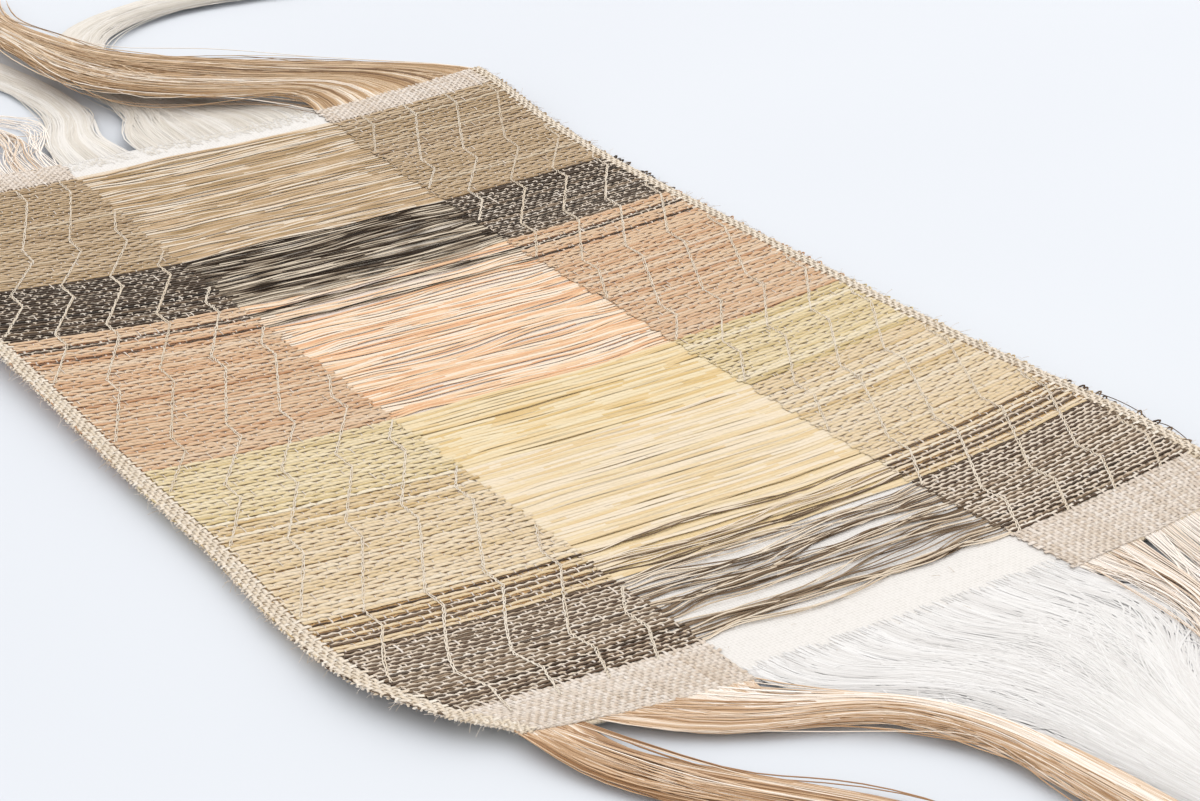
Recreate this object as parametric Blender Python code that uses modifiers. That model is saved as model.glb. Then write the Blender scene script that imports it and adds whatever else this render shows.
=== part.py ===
"""A hand-woven cloth panel lying flat, with its warp ends left loose at both ends.

The panel is one continuous sheet of weaving: a linen side panel, a white centre panel and a
second linen side panel across its width, with a plain woven heading at each end. Its warp ends
run on past the headings as long fringe, drawn together into hanks that lie on the surface.

Frame: the origin is the middle of the cloth's flat underside, +X runs to the right selvedge,
+Y along the warp to the far end, +Z up. The tables are in millimetres, the model in metres.
"""

import random
from collections import namedtuple

import bmesh
import bpy
from mathutils import Vector

MM = 0.001

# Driving sizes, in millimetres
CLOTH_THICKNESS = 2.0
CLOTH_CELLS_ACROSS = 20
CLOTH_CELLS_ALONG = 36
FLAT_SHARE = 0.3
RISE_POWER = 1.7
PARTING = 0.4
BACKING_DEPTH = 4.0
LOCK_SHARE = 0.68
LAYER_SHARE = 0.8
LOCK_STATIONS = 11
TIP_SHARE = 0.35
TIP_SHORTENING = 0.07
LEFT_LINE = -0.36
RIGHT_LINE = 0.43

# Sections of the cloth from its near end to its far end, in millimetres.
# along is the weft line's place; left and right are the selvedges and the two lines are the
# joins of the centre panel, all across; the rises are heights of the underside; the bows say
# how far each selvedge carries the weft line towards the far end.
ClothSection = namedtuple(
    "ClothSection",
    "along left left_line right_line right left_rise middle_rise right_rise left_bow right_bow",
)
CLOTH_SECTIONS = [
    ClothSection(*row)
    for row in (
        (-230, -115, -48, 62, 131, 3.5, 0.5, 4.5, 8.0, 7),
        (-205, -128, -48, 60, 136, 5.0, 0.5, 5.5, -1.0, 6),
        (-180, -139, -48, 58, 136, 4.8, 0.0, 6.0, 0.5, 8),
        (-145, -140, -48, 57, 134, 3.0, 0.0, 5.5, 3.0, 8),
        (-100, -137, -48, 57, 133, 3.0, 0.0, 4.0, 4.0, 8),
        (-40, -136, -48, 57, 133, 3.5, 0.0, 2.5, 5.0, 8),
        (40, -134, -48, 57, 133, 5.0, 0.0, 1.5, 6.0, 8),
        (105, -133, -48, 57, 133, 6.0, 1.0, 1.0, 6.0, 7),
        (150, -131, -48, 57, 133, 7.0, 3.0, 3.5, 4.0, 5),
        (190, -128, -48, 58, 134, 9.0, 5.0, 7.5, 3.0, 3),
        (205, -127, -48, 58, 134, 9.5, 5.5, 8.5, 3.0, 3),
    )
]

# One section of a hank of warp ends, in millimetres: the ends of the line that it covers, the
# height of its underside there and its own height.
HankSection = namedtuple("HankSection", "left_x left_y right_x right_y rise height")

# A hank leaves the cloth between two places across the heading, from -1 to 1.
Hank = namedtuple("Hank", "start stop locks sections")


def hank(start, stop, locks, *rows):
    """A hank of so many locks side by side, with a row for each section along it."""
    return Hank(start, stop, locks, [HankSection(*row) for row in rows])


NEAR_LEFT = [
    hank(
        -1.0, -0.84, 3,
        (-114, -237, -99, -236, 1.5, 3.5),
        (-106, -254, -90, -248, 0, 4.5),
        (-94, -272, -79, -263, 0, 5.5),
        (-80, -290, -66, -279, 0, 5.5),
        (-66, -308, -52, -299, 0, 5.5),
        (-53, -331, -39, -325, 0, 5.0),
        (-45, -358, -31, -355, 0, 5.0),
        (-42, -386, -28, -385, 0, 4.5),
        (-45, -412, -31, -412, 0, 4.0),
    ),
    hank(
        -0.82, LEFT_LINE, 6,
        (-79, -244, -53, -237, 1, 3.0),
        (-57, -254, -45, -241, 0, 5.0),
        (-38, -262, -30, -251, 0, 6.5),
        (-27, -274, -16, -266, 0, 7.0),
        (-20, -290, -7, -286, 0, 7.0),
        (-17, -309, -3, -307, 0, 6.5),
        (-14, -336, 1, -334, 0, 6.0),
        (-11, -363, 6, -361, 0, 5.0),
        (-6, -391, 12, -389, 0, 4.0),
    ),
]
NEAR_CENTRE = [
    hank(
        LEFT_LINE, RIGHT_LINE, 20,
        (-45, -237, 67, -239, 0.2, 1.8),
        (-28, -247, 70, -251, 0, 2.0),
        (-13, -261, 66, -266, 0, 2.5),
        (-4, -281, 56, -283, 0, 3.0),
        (0, -303, 45, -304, 0, 3.4),
        (4, -330, 39, -330, 0, 3.4),
        (9, -358, 40, -358, 0, 3.0),
        (15, -386, 45, -384, 0, 3.0),
        (22, -410, 52, -407, 0, 2.5),
    ),
]
NEAR_RIGHT = [
    hank(
        RIGHT_LINE, 0.64, 4,
        (70, -240, 86, -238, 0.8, 2.0),
        (73, -252, 85, -254, 0, 3.0),
        (69, -268, 79, -272, 0, 4.0),
        (59, -285, 69, -291, 0, 4.0),
        (48, -306, 58, -309, 0, 4.0),
        (42, -331, 54, -333, 0, 3.6),
        (43, -358, 56, -359, 0, 3.2),
        (48, -384, 62, -384, 0, 3.0),
        (55, -406, 70, -405, 0, 2.5),
    ),
    hank(
        0.66, 1.0, 8,
        (90, -237, 133, -232, 1.6, 1.8),
        (90, -252, 136, -247, 0, 1.8),
        (88, -270, 138, -265, 0, 1.8),
        (85, -290, 139, -284, 0, 1.8),
        (82, -312, 139, -305, 0, 1.8),
        (80, -336, 138, -328, 0, 1.8),
        (80, -360, 137, -352, 0, 1.8),
        (82, -382, 137, -374, 0, 1.8),
        (86, -400, 139, -393, 0, 1.8),
    ),
]
FAR_LEFT = [
    hank(
        -1.0, LEFT_LINE, 14,
        (-118, 225, -47, 223, 5, 1.8),
        (-105, 244, -41, 242, 2, 2.0),
        (-95, 266, -35, 263, 0, 2.2),
        (-99, 291, -47, 287, 0, 2.6),
        (-117, 311, -71, 314, 0, 3.0),
        (-144, 325, -104, 338, 0, 3.0),
        (-172, 335, -140, 355, 0, 3.0),
        (-200, 342, -176, 365, 0, 2.6),
    ),
]
FAR_CENTRE = [
    hank(
        LEFT_LINE, -0.15, 4,
        (-44, 223, -20, 223, 4, 2.0),
        (-37, 242, -18, 241, 1.5, 2.2),
        (-27, 262, -9, 264, 0, 2.6),
        (-25, 290, -7, 292, 0, 2.6),
        (-30, 320, -11, 324, 0, 2.6),
        (-38, 350, -18, 358, 0, 2.6),
        (-48, 382, -28, 392, 0, 2.6),
        (-60, 412, -40, 424, 0, 2.4),
    ),
    hank(
        -0.13, RIGHT_LINE, 7,
        (-17, 223, 61, 220, 4.6, 2.0),
        (-7, 239, 45, 236, 2, 3.0),
        (2, 256, 32, 254, 0, 4.5),
        (1, 277, 24, 279, 0, 5.0),
        (-2, 304, 20, 304, 0, 5.0),
        (3, 331, 25, 326, 0, 5.0),
        (20, 360, 36, 343, 0, 5.0),
        (48, 377, 56, 356, 0, 5.0),
        (84, 384, 84, 362, 0, 5.0),
        (120, 380, 114, 360, 0, 4.5),
        (150, 370, 142, 352, 0, 4.0),
    ),
]
FAR_RIGHT = [
    hank(
        RIGHT_LINE, 1.0, 9,
        (63, 218, 121, 222, 8.4, 2.5),
        (47, 225, 98, 236, 8.2, 4.0),
        (28, 233, 73, 252, 7.6, 5.5),
        (9, 245, 51, 271, 7, 7.0),
        (-7, 264, 33, 289, 6.5, 7.5),
        (-14, 289, 18, 306, 6, 8.0),
        (-15, 315, 8, 328, 6, 8.0),
        (-14, 341, 4, 351, 5, 8.0),
        (-11, 369, 5, 375, 2.5, 7.5),
        (-6, 397, 11, 400, 0, 7.0),
        (0, 424, 18, 423, 0, 6.0),
    ),
]

# Each backing: its name, the end of the cloth that it lies along, its layers of locks, its
# hanks, and its material.
Backing = namedtuple("Backing", "name end layers hanks material")
BACKINGS = [
    Backing("near_left_fringe", "near", 2, NEAR_LEFT, "linen_ends"),
    Backing("near_centre_fringe", "near", 1, NEAR_CENTRE, "white_ends"),
    Backing("near_right_fringe", "near", 1, NEAR_RIGHT, "linen_ends"),
    Backing("far_left_fringe", "far", 1, FAR_LEFT, "linen_ends"),
    Backing("far_centre_fringe", "far", 2, FAR_CENTRE, "white_ends"),
    Backing("far_right_fringe", "far", 2, FAR_RIGHT, "brown_linen_ends"),
]

# Colour, as linear red, green and blue, and roughness
MATERIALS = {
    "woven_linen": ((0.60, 0.45, 0.28), 0.85),
    "linen_ends": ((0.52, 0.36, 0.22), 0.80),
    "white_ends": ((0.86, 0.84, 0.80), 0.80),
    "brown_linen_ends": ((0.40, 0.26, 0.15), 0.80),
}


def clear_scene():
    """Remove what the new file holds."""
    for obj in list(bpy.data.objects):
        bpy.data.objects.remove(obj, do_unlink=True)


def mix(low, high, share):
    """The value a share of the way from low to high."""
    return low + (high - low) * share


def smooth_row(rows, place):
    """The table's values at a place counted in rows, on a smooth curve through the rows."""
    index = min(int(place), len(rows) - 2)
    t = place - index
    before = rows[max(index - 1, 0)]
    after = rows[min(index + 2, len(rows) - 1)]
    values = []
    for a, b, c, d in zip(before, rows[index], rows[index + 1], after):
        leave = (c - a) / 2
        arrive = (d - b) / 2
        values.append(
            b * (1 + 2 * t) * (1 - t) ** 2
            + leave * t * (1 - t) ** 2
            + c * t * t * (3 - 2 * t)
            + arrive * t * t * (t - 1)
        )
    return values


def row_place(along):
    """Where a distance along the warp falls in the table of cloth sections."""
    for index in range(len(CLOTH_SECTIONS) - 1):
        low = CLOTH_SECTIONS[index].along
        high = CLOTH_SECTIONS[index + 1].along
        if along <= high:
            return index + (along - low) / (high - low)
    return len(CLOTH_SECTIONS) - 1


def cloth_underside(across, along):
    """The point of the cloth's underside at a place across, from -1 to 1, and along, in mm."""
    section = ClothSection(*smooth_row(CLOTH_SECTIONS, row_place(along)))
    if across < LEFT_LINE:
        x = mix(section.left, section.left_line, (across + 1) / (LEFT_LINE + 1))
    elif across > RIGHT_LINE:
        x = mix(section.right_line, section.right, (across - RIGHT_LINE) / (1 - RIGHT_LINE))
    else:
        share = (across - LEFT_LINE) / (RIGHT_LINE - LEFT_LINE)
        x = mix(section.left_line, section.right_line, share)
    outward = max(0.0, (abs(across) - FLAT_SHARE) / (1 - FLAT_SHARE))
    edge_rise = section.left_rise if across < 0 else section.right_rise
    edge_bow = section.left_bow if across < 0 else section.right_bow
    middle = max(0.0, section.middle_rise)
    rise = mix(middle, edge_rise, outward**RISE_POWER)
    return Vector((x, along + edge_bow * across * across, rise))


def place_object(name, mesh, material_name, collection):
    """Link a mesh to the collection under its node's name, with its own material."""
    color, roughness = MATERIALS[material_name]
    material = bpy.data.materials.new(f"{name}_{material_name}")
    material.use_nodes = True
    shader = material.node_tree.nodes["Principled BSDF"]
    shader.inputs["Base Color"].default_value = (*color, 1.0)
    shader.inputs["Roughness"].default_value = roughness
    shader.inputs["Metallic"].default_value = 0.0
    mesh.materials.append(material)
    obj = bpy.data.objects.new(name, mesh)
    collection.objects.link(obj)
    return obj


def make_cloth(collection):
    """The woven sheet: a grid laid on the underside, made thick upwards by Solidify."""
    near = CLOTH_SECTIONS[0].along
    far = CLOTH_SECTIONS[-1].along
    bm = bmesh.new()
    bmesh.ops.create_grid(
        bm, x_segments=CLOTH_CELLS_ACROSS, y_segments=CLOTH_CELLS_ALONG, size=1.0
    )
    for vert in bm.verts:
        along = mix(near, far, (vert.co.y + 1) / 2)
        vert.co = cloth_underside(vert.co.x, along) * MM
    mesh = bpy.data.meshes.new("cloth")
    bm.to_mesh(mesh)
    bm.free()
    cloth = place_object("cloth", mesh, "woven_linen", collection)
    solidify = cloth.modifiers.new("thickness", "SOLIDIFY")
    solidify.thickness = CLOTH_THICKNESS * MM
    solidify.offset = 1.0
    cloth.data.shade_smooth()
    return cloth


def column_edges(hanks):
    """The two sides of each lock at the backing, as (hank index, share of the hank)."""
    edges = []
    for index, group in enumerate(hanks):
        for lock in range(group.locks):
            middle = (lock + 0.5) / group.locks
            half = LOCK_SHARE / 2 / group.locks
            low = 0.0 if lock == 0 else middle - half
            high = 1.0 if lock == group.locks - 1 else middle + half
            edges.append((index, low))
            edges.append((index, high))
    return edges


def layer_edges(layers):
    """The underside and top of each layer of locks, as shares of the hank's height."""
    edges = []
    for layer in range(layers):
        edges.append(layer / layers if layer else 0.0)
        edges.append((layer + LAYER_SHARE) / layers if layer < layers - 1 else 1.0)
    return edges


def backing_point(backing, column, level, depth):
    """A point of the backing strip, a depth out from the end of the cloth."""
    index, share = column
    group = backing.hanks[index]
    outward = -1 if backing.end == "near" else 1
    section = CLOTH_SECTIONS[0] if backing.end == "near" else CLOTH_SECTIONS[-1]
    half_parting = PARTING / (section.right - section.left)
    start = group.start + (half_parting if group.start > -1 else 0)
    stop = group.stop - (half_parting if group.stop < 1 else 0)
    point = cloth_underside(mix(start, stop, share), section.along)
    point.y += outward * depth
    point.z += CLOTH_THICKNESS * level
    return point


def hank_point(group, share, level, travel):
    """A point of a hank: its share across, its level up, and its travel from 0 to 1."""
    place = travel * (len(group.sections) - 1)
    section = HankSection(*smooth_row(group.sections, place))
    x = mix(section.left_x, section.right_x, share)
    y = mix(section.left_y, section.right_y, share)
    return Vector((x, y, max(0.0, section.rise) + section.height * level))


def make_backing(backing, chance, collection):
    """A narrow strip along the cloth's end, with its locks pulled out of it face by face."""
    columns = column_edges(backing.hanks)
    levels = layer_edges(backing.layers)
    bm = bmesh.new()
    bmesh.ops.create_grid(
        bm, x_segments=len(columns) - 1, y_segments=len(levels) - 1, size=1.0
    )
    column_of = bm.verts.layers.int.new("column")
    level_of = bm.verts.layers.int.new("level")
    for vert in bm.verts:
        vert[column_of] = round((vert.co.x + 1) / 2 * (len(columns) - 1))
        vert[level_of] = round((vert.co.y + 1) / 2 * (len(levels) - 1))

    def strip_point(vert, depth):
        return backing_point(backing, columns[vert[column_of]], levels[vert[level_of]], depth) * MM

    front = list(bm.faces)
    extruded = bmesh.ops.extrude_face_region(bm, geom=front)["geom"]
    outer_verts = [item for item in extruded if isinstance(item, bmesh.types.BMVert)]
    outer_faces = [item for item in extruded if isinstance(item, bmesh.types.BMFace)]
    for vert in bm.verts:
        vert.co = strip_point(vert, PARTING)
    for vert in outer_verts:
        vert.co = strip_point(vert, PARTING + BACKING_DEPTH)

    faces = []
    for face in outer_faces:
        first_column = min(vert[column_of] for vert in face.verts)
        first_level = min(vert[level_of] for vert in face.verts)
        if first_column % 2 == 0 and first_level % 2 == 0:
            faces.append(face)
    shortening = {}
    for station in range(LOCK_STATIONS):
        faces = bmesh.ops.extrude_discrete_faces(bm, faces=faces)["faces"]
        travel = station / (LOCK_STATIONS - 1)
        for face in faces:
            first_column = min(vert[column_of] for vert in face.verts)
            first_level = min(vert[level_of] for vert in face.verts)
            index, low = columns[first_column]
            high = columns[first_column + 1][1]
            group = backing.hanks[index]
            lock = (first_column, first_level)
            if lock not in shortening:
                shortening[lock] = 1 - TIP_SHORTENING * chance.random()
            middle = (low + high) / 2
            half = LOCK_SHARE / 2 / group.locks
            last = station == LOCK_STATIONS - 1
            width = half * (TIP_SHARE if last else 1.0)
            for vert in face.verts:
                side = 1 if vert[column_of] > first_column else -1
                floor_level = levels[first_level]
                level = levels[vert[level_of]]
                if last:
                    level = mix(floor_level, level, TIP_SHARE)
                point = hank_point(group, middle + side * width, level, travel * shortening[lock])
                vert.co = point * MM
    bmesh.ops.recalc_face_normals(bm, faces=bm.faces)
    mesh = bpy.data.meshes.new(backing.name)
    bm.to_mesh(mesh)
    bm.free()
    return place_object(backing.name, mesh, backing.material, collection)


def make_part():
    """Build the cloth and its six fringes in one collection."""
    clear_scene()
    collection = bpy.data.collections.new("woven_cloth")
    bpy.context.scene.collection.children.link(collection)
    make_cloth(collection)
    chance = random.Random(7)
    for backing in BACKINGS:
        make_backing(backing, chance, collection)


make_part()
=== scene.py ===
# %% [markdown]
# A hand-woven cloth panel with long loose warp ends, lying on a pale table.
# Cloth like this is made of nothing but yarn: warp yarns run the length of the loom, weft yarns
# cross them, and each crossing goes over or under. An image of a weave painted on a flat sheet
# looks right from far off, but here the camera is so near that single yarns show, and in the
# middle panel they lie loose on top. So this script builds the yarns themselves, as thin tubes
# that follow one shared cloth surface, on a thin woven sheet that closes the gaps between them.

# %% Load the frame
import math
from collections import namedtuple

import bmesh
import bpy
import numpy as np
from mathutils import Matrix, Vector


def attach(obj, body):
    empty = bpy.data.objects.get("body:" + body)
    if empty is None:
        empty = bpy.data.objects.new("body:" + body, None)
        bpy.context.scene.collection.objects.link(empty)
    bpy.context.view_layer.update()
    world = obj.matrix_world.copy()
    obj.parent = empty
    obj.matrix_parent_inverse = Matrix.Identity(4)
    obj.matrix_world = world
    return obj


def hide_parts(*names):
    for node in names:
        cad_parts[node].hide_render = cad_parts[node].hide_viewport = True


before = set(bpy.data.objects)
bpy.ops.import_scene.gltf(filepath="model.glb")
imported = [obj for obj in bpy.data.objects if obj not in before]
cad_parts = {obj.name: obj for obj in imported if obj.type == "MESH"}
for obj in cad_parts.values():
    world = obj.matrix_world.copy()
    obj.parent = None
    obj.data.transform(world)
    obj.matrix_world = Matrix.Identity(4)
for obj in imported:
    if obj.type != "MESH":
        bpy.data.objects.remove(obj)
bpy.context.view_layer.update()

MM = 0.001

# %% [markdown]
# The camera looks down at the cloth from its near left corner, at about the height of a person
# sitting at the table. A long lens flattens the perspective, as in a close product photograph.
# A camera needs a place and a turn: here the turn is given as how far it looks down and how far
# it looks round to the right, because those two angles are easy to judge.

# %% Camera
CAMERA_PLACE = (-0.4531, -0.7672, 0.400)
LOOKS_DOWN = math.radians(25.3)
LOOKS_RIGHT = math.radians(33.5)
LENS_MM, SENSOR_MM = 89.94, 36.0
NEAREST_SEEN = 0.01


def add_object(name, data):
    """A new object in the scene, for a mesh, a camera or a light."""
    made = bpy.data.objects.new(name, data)
    bpy.context.scene.collection.objects.link(made)
    return made


camera_data = bpy.data.cameras.new("camera")
camera_data.lens = LENS_MM
camera_data.sensor_width = SENSOR_MM
camera_data.clip_start = NEAREST_SEEN
camera = add_object("camera", camera_data)
camera.location = CAMERA_PLACE
camera.rotation_euler = (math.pi / 2 - LOOKS_DOWN, 0, -LOOKS_RIGHT)
bpy.context.scene.camera = camera
print("Camera height, in mm:", round(camera.location.z / MM))

# %% [markdown]
# Every point of the cloth is found from three numbers: how far across it is (from -1 at the left
# selvedge to 1 at the right one), how far along the warp, and how high above the underside. One
# short table holds the sections of the cloth, and a smooth curve runs through its rows. The same
# rule shapes the solid that this scene dresses, so yarns laid by it fit that solid. NumPy works
# on whole arrays at once, which keeps many thousands of yarn points quick.

# %% The cloth's surface
SECTION_COLUMNS = (
    "along left left_line right_line right left_rise middle_rise right_rise left_bow right_bow"
)
CLOTH_SECTIONS = np.array(
    (
        (-230, -115, -48, 62, 131, 3.5, 0.5, 4.5, 8.0, 7),
        (-205, -128, -48, 60, 136, 5.0, 0.5, 5.5, -1.0, 6),
        (-180, -139, -48, 58, 136, 4.8, 0.0, 6.0, 0.5, 8),
        (-145, -140, -48, 57, 134, 3.0, 0.0, 5.5, 3.0, 8),
        (-100, -137, -48, 57, 133, 3.0, 0.0, 4.0, 4.0, 8),
        (-40, -136, -48, 57, 133, 3.5, 0.0, 2.5, 5.0, 8),
        (40, -134, -48, 57, 133, 5.0, 0.0, 1.5, 6.0, 8),
        (105, -133, -48, 57, 133, 6.0, 1.0, 1.0, 6.0, 7),
        (150, -131, -48, 57, 133, 7.0, 3.0, 3.5, 4.0, 5),
        (190, -128, -48, 58, 134, 9.0, 5.0, 7.5, 3.0, 3),
        (205, -127, -48, 58, 134, 9.5, 5.5, 8.5, 3.0, 3),
    ),
    float,
)
LEFT_LINE, RIGHT_LINE = -0.36, 0.43
FLAT_SHARE, RISE_POWER = 0.3, 1.7
NEAR_END, FAR_END = CLOTH_SECTIONS[0, 0], CLOTH_SECTIONS[-1, 0]
# Half the cloth's width, to turn a share across into millimetres where near enough will do.
HALF_WIDTH = 135.0


def mix(low, high, share):
    """The value a share of the way from low to high."""
    return low + (high - low) * share


def smooth_rows(rows, place):
    """The table's values at places counted in rows, on a smooth curve through the rows."""
    index = np.clip(np.asarray(place).astype(int), 0, len(rows) - 2)
    t = (place - index)[..., None]
    before, after = rows[np.maximum(index - 1, 0)], rows[np.minimum(index + 2, len(rows) - 1)]
    here, there = rows[index], rows[index + 1]
    leave, arrive = (there - before) / 2, (after - here) / 2
    return (
        here * (1 + 2 * t) * (1 - t) ** 2
        + leave * t * (1 - t) ** 2
        + there * t * t * (3 - 2 * t)
        + arrive * t * t * (t - 1)
    )


def on_cloth(across, along, height):
    """Points in millimetres, at a height above the cloth's underside."""
    across, along, height = np.broadcast_arrays(across, along, height)
    place = np.interp(along, CLOTH_SECTIONS[:, 0], np.arange(len(CLOTH_SECTIONS)))
    row = dict(zip(SECTION_COLUMNS.split(), np.moveaxis(smooth_rows(CLOTH_SECTIONS, place), -1, 0)))
    left = mix(row["left"], row["left_line"], (across + 1) / (LEFT_LINE + 1))
    right = mix(row["right_line"], row["right"], (across - RIGHT_LINE) / (1 - RIGHT_LINE))
    middle = mix(
        row["left_line"], row["right_line"], (across - LEFT_LINE) / (RIGHT_LINE - LEFT_LINE)
    )
    x = np.where(across < LEFT_LINE, left, np.where(across > RIGHT_LINE, right, middle))
    outward = np.clip((abs(across) - FLAT_SHARE) / (1 - FLAT_SHARE), 0, None)
    edge_rise = np.where(across < 0, row["left_rise"], row["right_rise"])
    edge_bow = np.where(across < 0, row["left_bow"], row["right_bow"])
    rise = mix(np.maximum(row["middle_rise"], 0), edge_rise, outward**RISE_POWER)
    return np.stack([x, along + edge_bow * across**2, rise + height], -1)


print("Right selvedge at the middle, in mm:", on_cloth(1.0, 0.0, 0.0).round(1))

# %% [markdown]
# Nothing made by hand is even, so each yarn wanders a little. The wander comes from a small
# lattice of random numbers with smooth steps between them, which gives soft waves of a chosen
# length. Each piece has its own seeded generator, so every run gives the same cloth.

# %% A smooth wander
def ease(share):
    """A share from 0 to 1 that starts and stops gently."""
    return share * share * (3 - 2 * share)


def wander(chance, x, y, cell_x, cell_y, reach=1.0):
    """Smooth random values from -reach to reach that change over cell_x and cell_y millimetres."""
    x, y = np.broadcast_arrays(np.asarray(x) / cell_x, np.asarray(y) / cell_y)
    x, y = x - x.min(), y - y.min()
    lattice = chance.uniform(-1, 1, (int(x.max()) + 2, int(y.max()) + 2))
    i, j = x.astype(int), y.astype(int)
    u, v = ease(x - i), ease(y - j)
    near = mix(lattice[i, j], lattice[i + 1, j], u)
    far = mix(lattice[i, j + 1], lattice[i + 1, j + 1], u)
    return reach * mix(near, far, v)


print("The smooth step, a quarter of the way:", ease(0.25))

# %% [markdown]
# A yarn is drawn as a thin tube round a path. Blender's curves with a bevel could make it, but
# they spend eight triangles on each step, and this cloth has over a hundred thousand steps. A
# three-sided tube with a flat side up looks as round at this size for six. Smooth shading alone
# would show its corners, so each point gets a normal of its own that leans outward, and leans
# less on a flat yarn. The ends are closed, so each yarn is a small solid. Two things go with each
# tube for its material: a UV map that runs round the yarn and along it in millimetres, and a
# tint, one number a yarn. The function that closes the tubes takes rings of any number of
# points, because the hanks need soft bodies of the same kind later.

# %% Yarns as joined tubes
SIDES = 3
FIRST_EDGE = 30
FLATNESS, ROUNDNESS = (0.2, 0.4, 1.0), (0.3, 0.7, 1.0)
TRIANGLES = {}
Strands = namedtuple("Strands", "paths radius flat tint")


def draw_tints(chance, mean, spread, count):
    """One tint for each of so many yarns, most of them near the mean."""
    return np.clip(chance.normal(mean, spread, count), 0, 1)


def unit(vectors):
    """The vectors, each made one long."""
    return vectors / (np.linalg.norm(vectors, axis=-1, keepdims=True) + 1e-9)


def shell_parts(rings, normals, run, turns, tint):
    """Points, faces, UVs, tints and normals of closed shells, each through rings of points."""
    count, stations, sides = rings.shape[:3]
    at = np.arange(count * stations * sides).reshape(count, stations, sides)
    turned = np.roll(at, -1, axis=2)
    quads = np.stack([at[:, :-1], at[:, 1:], turned[:, 1:], turned[:, :-1]], -1).reshape(-1, 4)
    fan = np.array([(0, k, k + 1) for k in range(1, sides - 1)])
    caps = np.concatenate([at[:, 0][:, fan], at[:, -1][:, fan[:, ::-1]]]).reshape(-1, 3)
    low = np.broadcast_to(run[:, :-1, None], (count, stations - 1, sides))
    high = np.broadcast_to(run[:, 1:, None], low.shape)
    around = np.broadcast_to(np.arange(sides) * turns / sides, low.shape)
    beyond = around + turns / sides
    quad_uv = np.stack([around, low, around, high, beyond, high, beyond, low], -1).reshape(-1, 2)
    cap_run = np.repeat(run[:, [0, -1]].T.ravel(), fan.size)
    cap_uv = np.stack([0 * cap_run, cap_run], -1)
    tints = np.repeat(np.broadcast_to(tint, (count,)), stations * sides)
    return rings.reshape(-1, 3), quads, caps, quad_uv, cap_uv, tints, normals.reshape(-1, 3)


def tube_parts(group):
    """The parts of one group of strands that have the same number of points."""
    paths = group.paths
    step = unit(np.gradient(paths, axis=1))
    side = unit(np.cross(step, (0.0, 0.0, 1.0)))
    top = np.cross(side, step)
    radius = np.broadcast_to(np.asarray(group.radius, float), paths.shape[:2])[..., None]
    angles = np.radians([FIRST_EDGE + 360 * k / SIDES for k in range(SIDES)])
    rings = [
        paths + radius * (math.cos(a) * side + math.sin(a) * group.flat * top) for a in angles
    ]
    rounded = np.interp(group.flat, FLATNESS, ROUNDNESS)
    facing = [rounded * math.cos(a) * side + math.sin(a) * top for a in angles]
    run = np.cumsum(np.linalg.norm(np.diff(paths, axis=1), axis=2), axis=1)
    run = np.pad(run, ((0, 0), (1, 0)))
    return shell_parts(np.stack(rings, 2), unit(np.stack(facing, 2)), run, 1, group.tint)


def loft_parts(rings, turns, tint):
    """The parts of one closed body lofted through rings of points."""
    run = np.cumsum(np.linalg.norm(np.diff(rings.mean(axis=1), axis=0), axis=1))
    across_ring = np.roll(rings, -1, axis=1) - np.roll(rings, 1, axis=1)
    normals = unit(np.cross(across_ring, np.gradient(rings, axis=0)))
    outward = rings - rings.mean(axis=1, keepdims=True)
    normals *= np.sign((normals * outward).sum(axis=(1, 2), keepdims=True))
    return shell_parts(rings[None], normals[None], np.append(0.0, run)[None], turns, tint)


def make_strands(name, groups, material, lofts=()):
    """One joined mesh of all the groups of strands, and of any lofted bodies."""
    parts = [tube_parts(group) for group in groups] + list(lofts)
    starts = np.cumsum([0] + [len(part[0]) for part in parts[:-1]])
    points = np.concatenate([part[0] for part in parts]) * MM
    quads = np.concatenate([part[1] + start for part, start in zip(parts, starts)])
    caps = np.concatenate([part[2] + start for part, start in zip(parts, starts)])
    uvs = np.concatenate([part[3] for part in parts] + [part[4] for part in parts])
    mesh = bpy.data.meshes.new(name)
    mesh.vertices.add(len(points))
    mesh.vertices.foreach_set("co", points.ravel().astype(np.float32))
    mesh.loops.add(quads.size + caps.size)
    mesh.loops.foreach_set("vertex_index", np.concatenate([quads.ravel(), caps.ravel()]))
    mesh.polygons.add(len(quads) + len(caps))
    quad_starts = np.arange(len(quads)) * 4
    cap_starts = quads.size + np.arange(len(caps)) * SIDES
    mesh.polygons.foreach_set("loop_start", np.concatenate([quad_starts, cap_starts]))
    mesh.update(calc_edges=True)
    mesh.uv_layers.new(name="strand").uv.foreach_set("vector", uvs.ravel().astype(np.float32))
    tints = np.concatenate([part[5] for part in parts]).astype(np.float32)
    mesh.attributes.new("tint", "FLOAT", "POINT").data.foreach_set("value", tints)
    mesh.shade_smooth()
    mesh.normals_split_custom_set_from_vertices(np.concatenate([part[6] for part in parts]))
    mesh.materials.append(material)
    piece = add_object(name, mesh)
    triangles = 2 * len(quads) + len(caps)
    TRIANGLES[name] = triangles
    print(f"{name}: {triangles} triangles")
    return piece


# %% [markdown]
# A material is a small network of nodes. Colours are written as the sRGB hex values that a
# painter or a web page would use, and one function turns them into the linear values that the
# renderer works in. One other function adds a node, sets it and links it. A few short ones use it
# for what comes up again and again: a sum, one colour multiplied by another, and the shader with
# the output that ends every network.

# %% Colour and node helpers
def linear(hex_colour):
    """Linear red, green, blue and alpha of an sRGB hex colour."""
    values = [int(hex_colour[i : i + 2], 16) / 255 for i in (1, 3, 5)]
    return (*[v / 12.92 if v <= 0.04045 else ((v + 0.055) / 1.055) ** 2.4 for v in values], 1.0)


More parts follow.
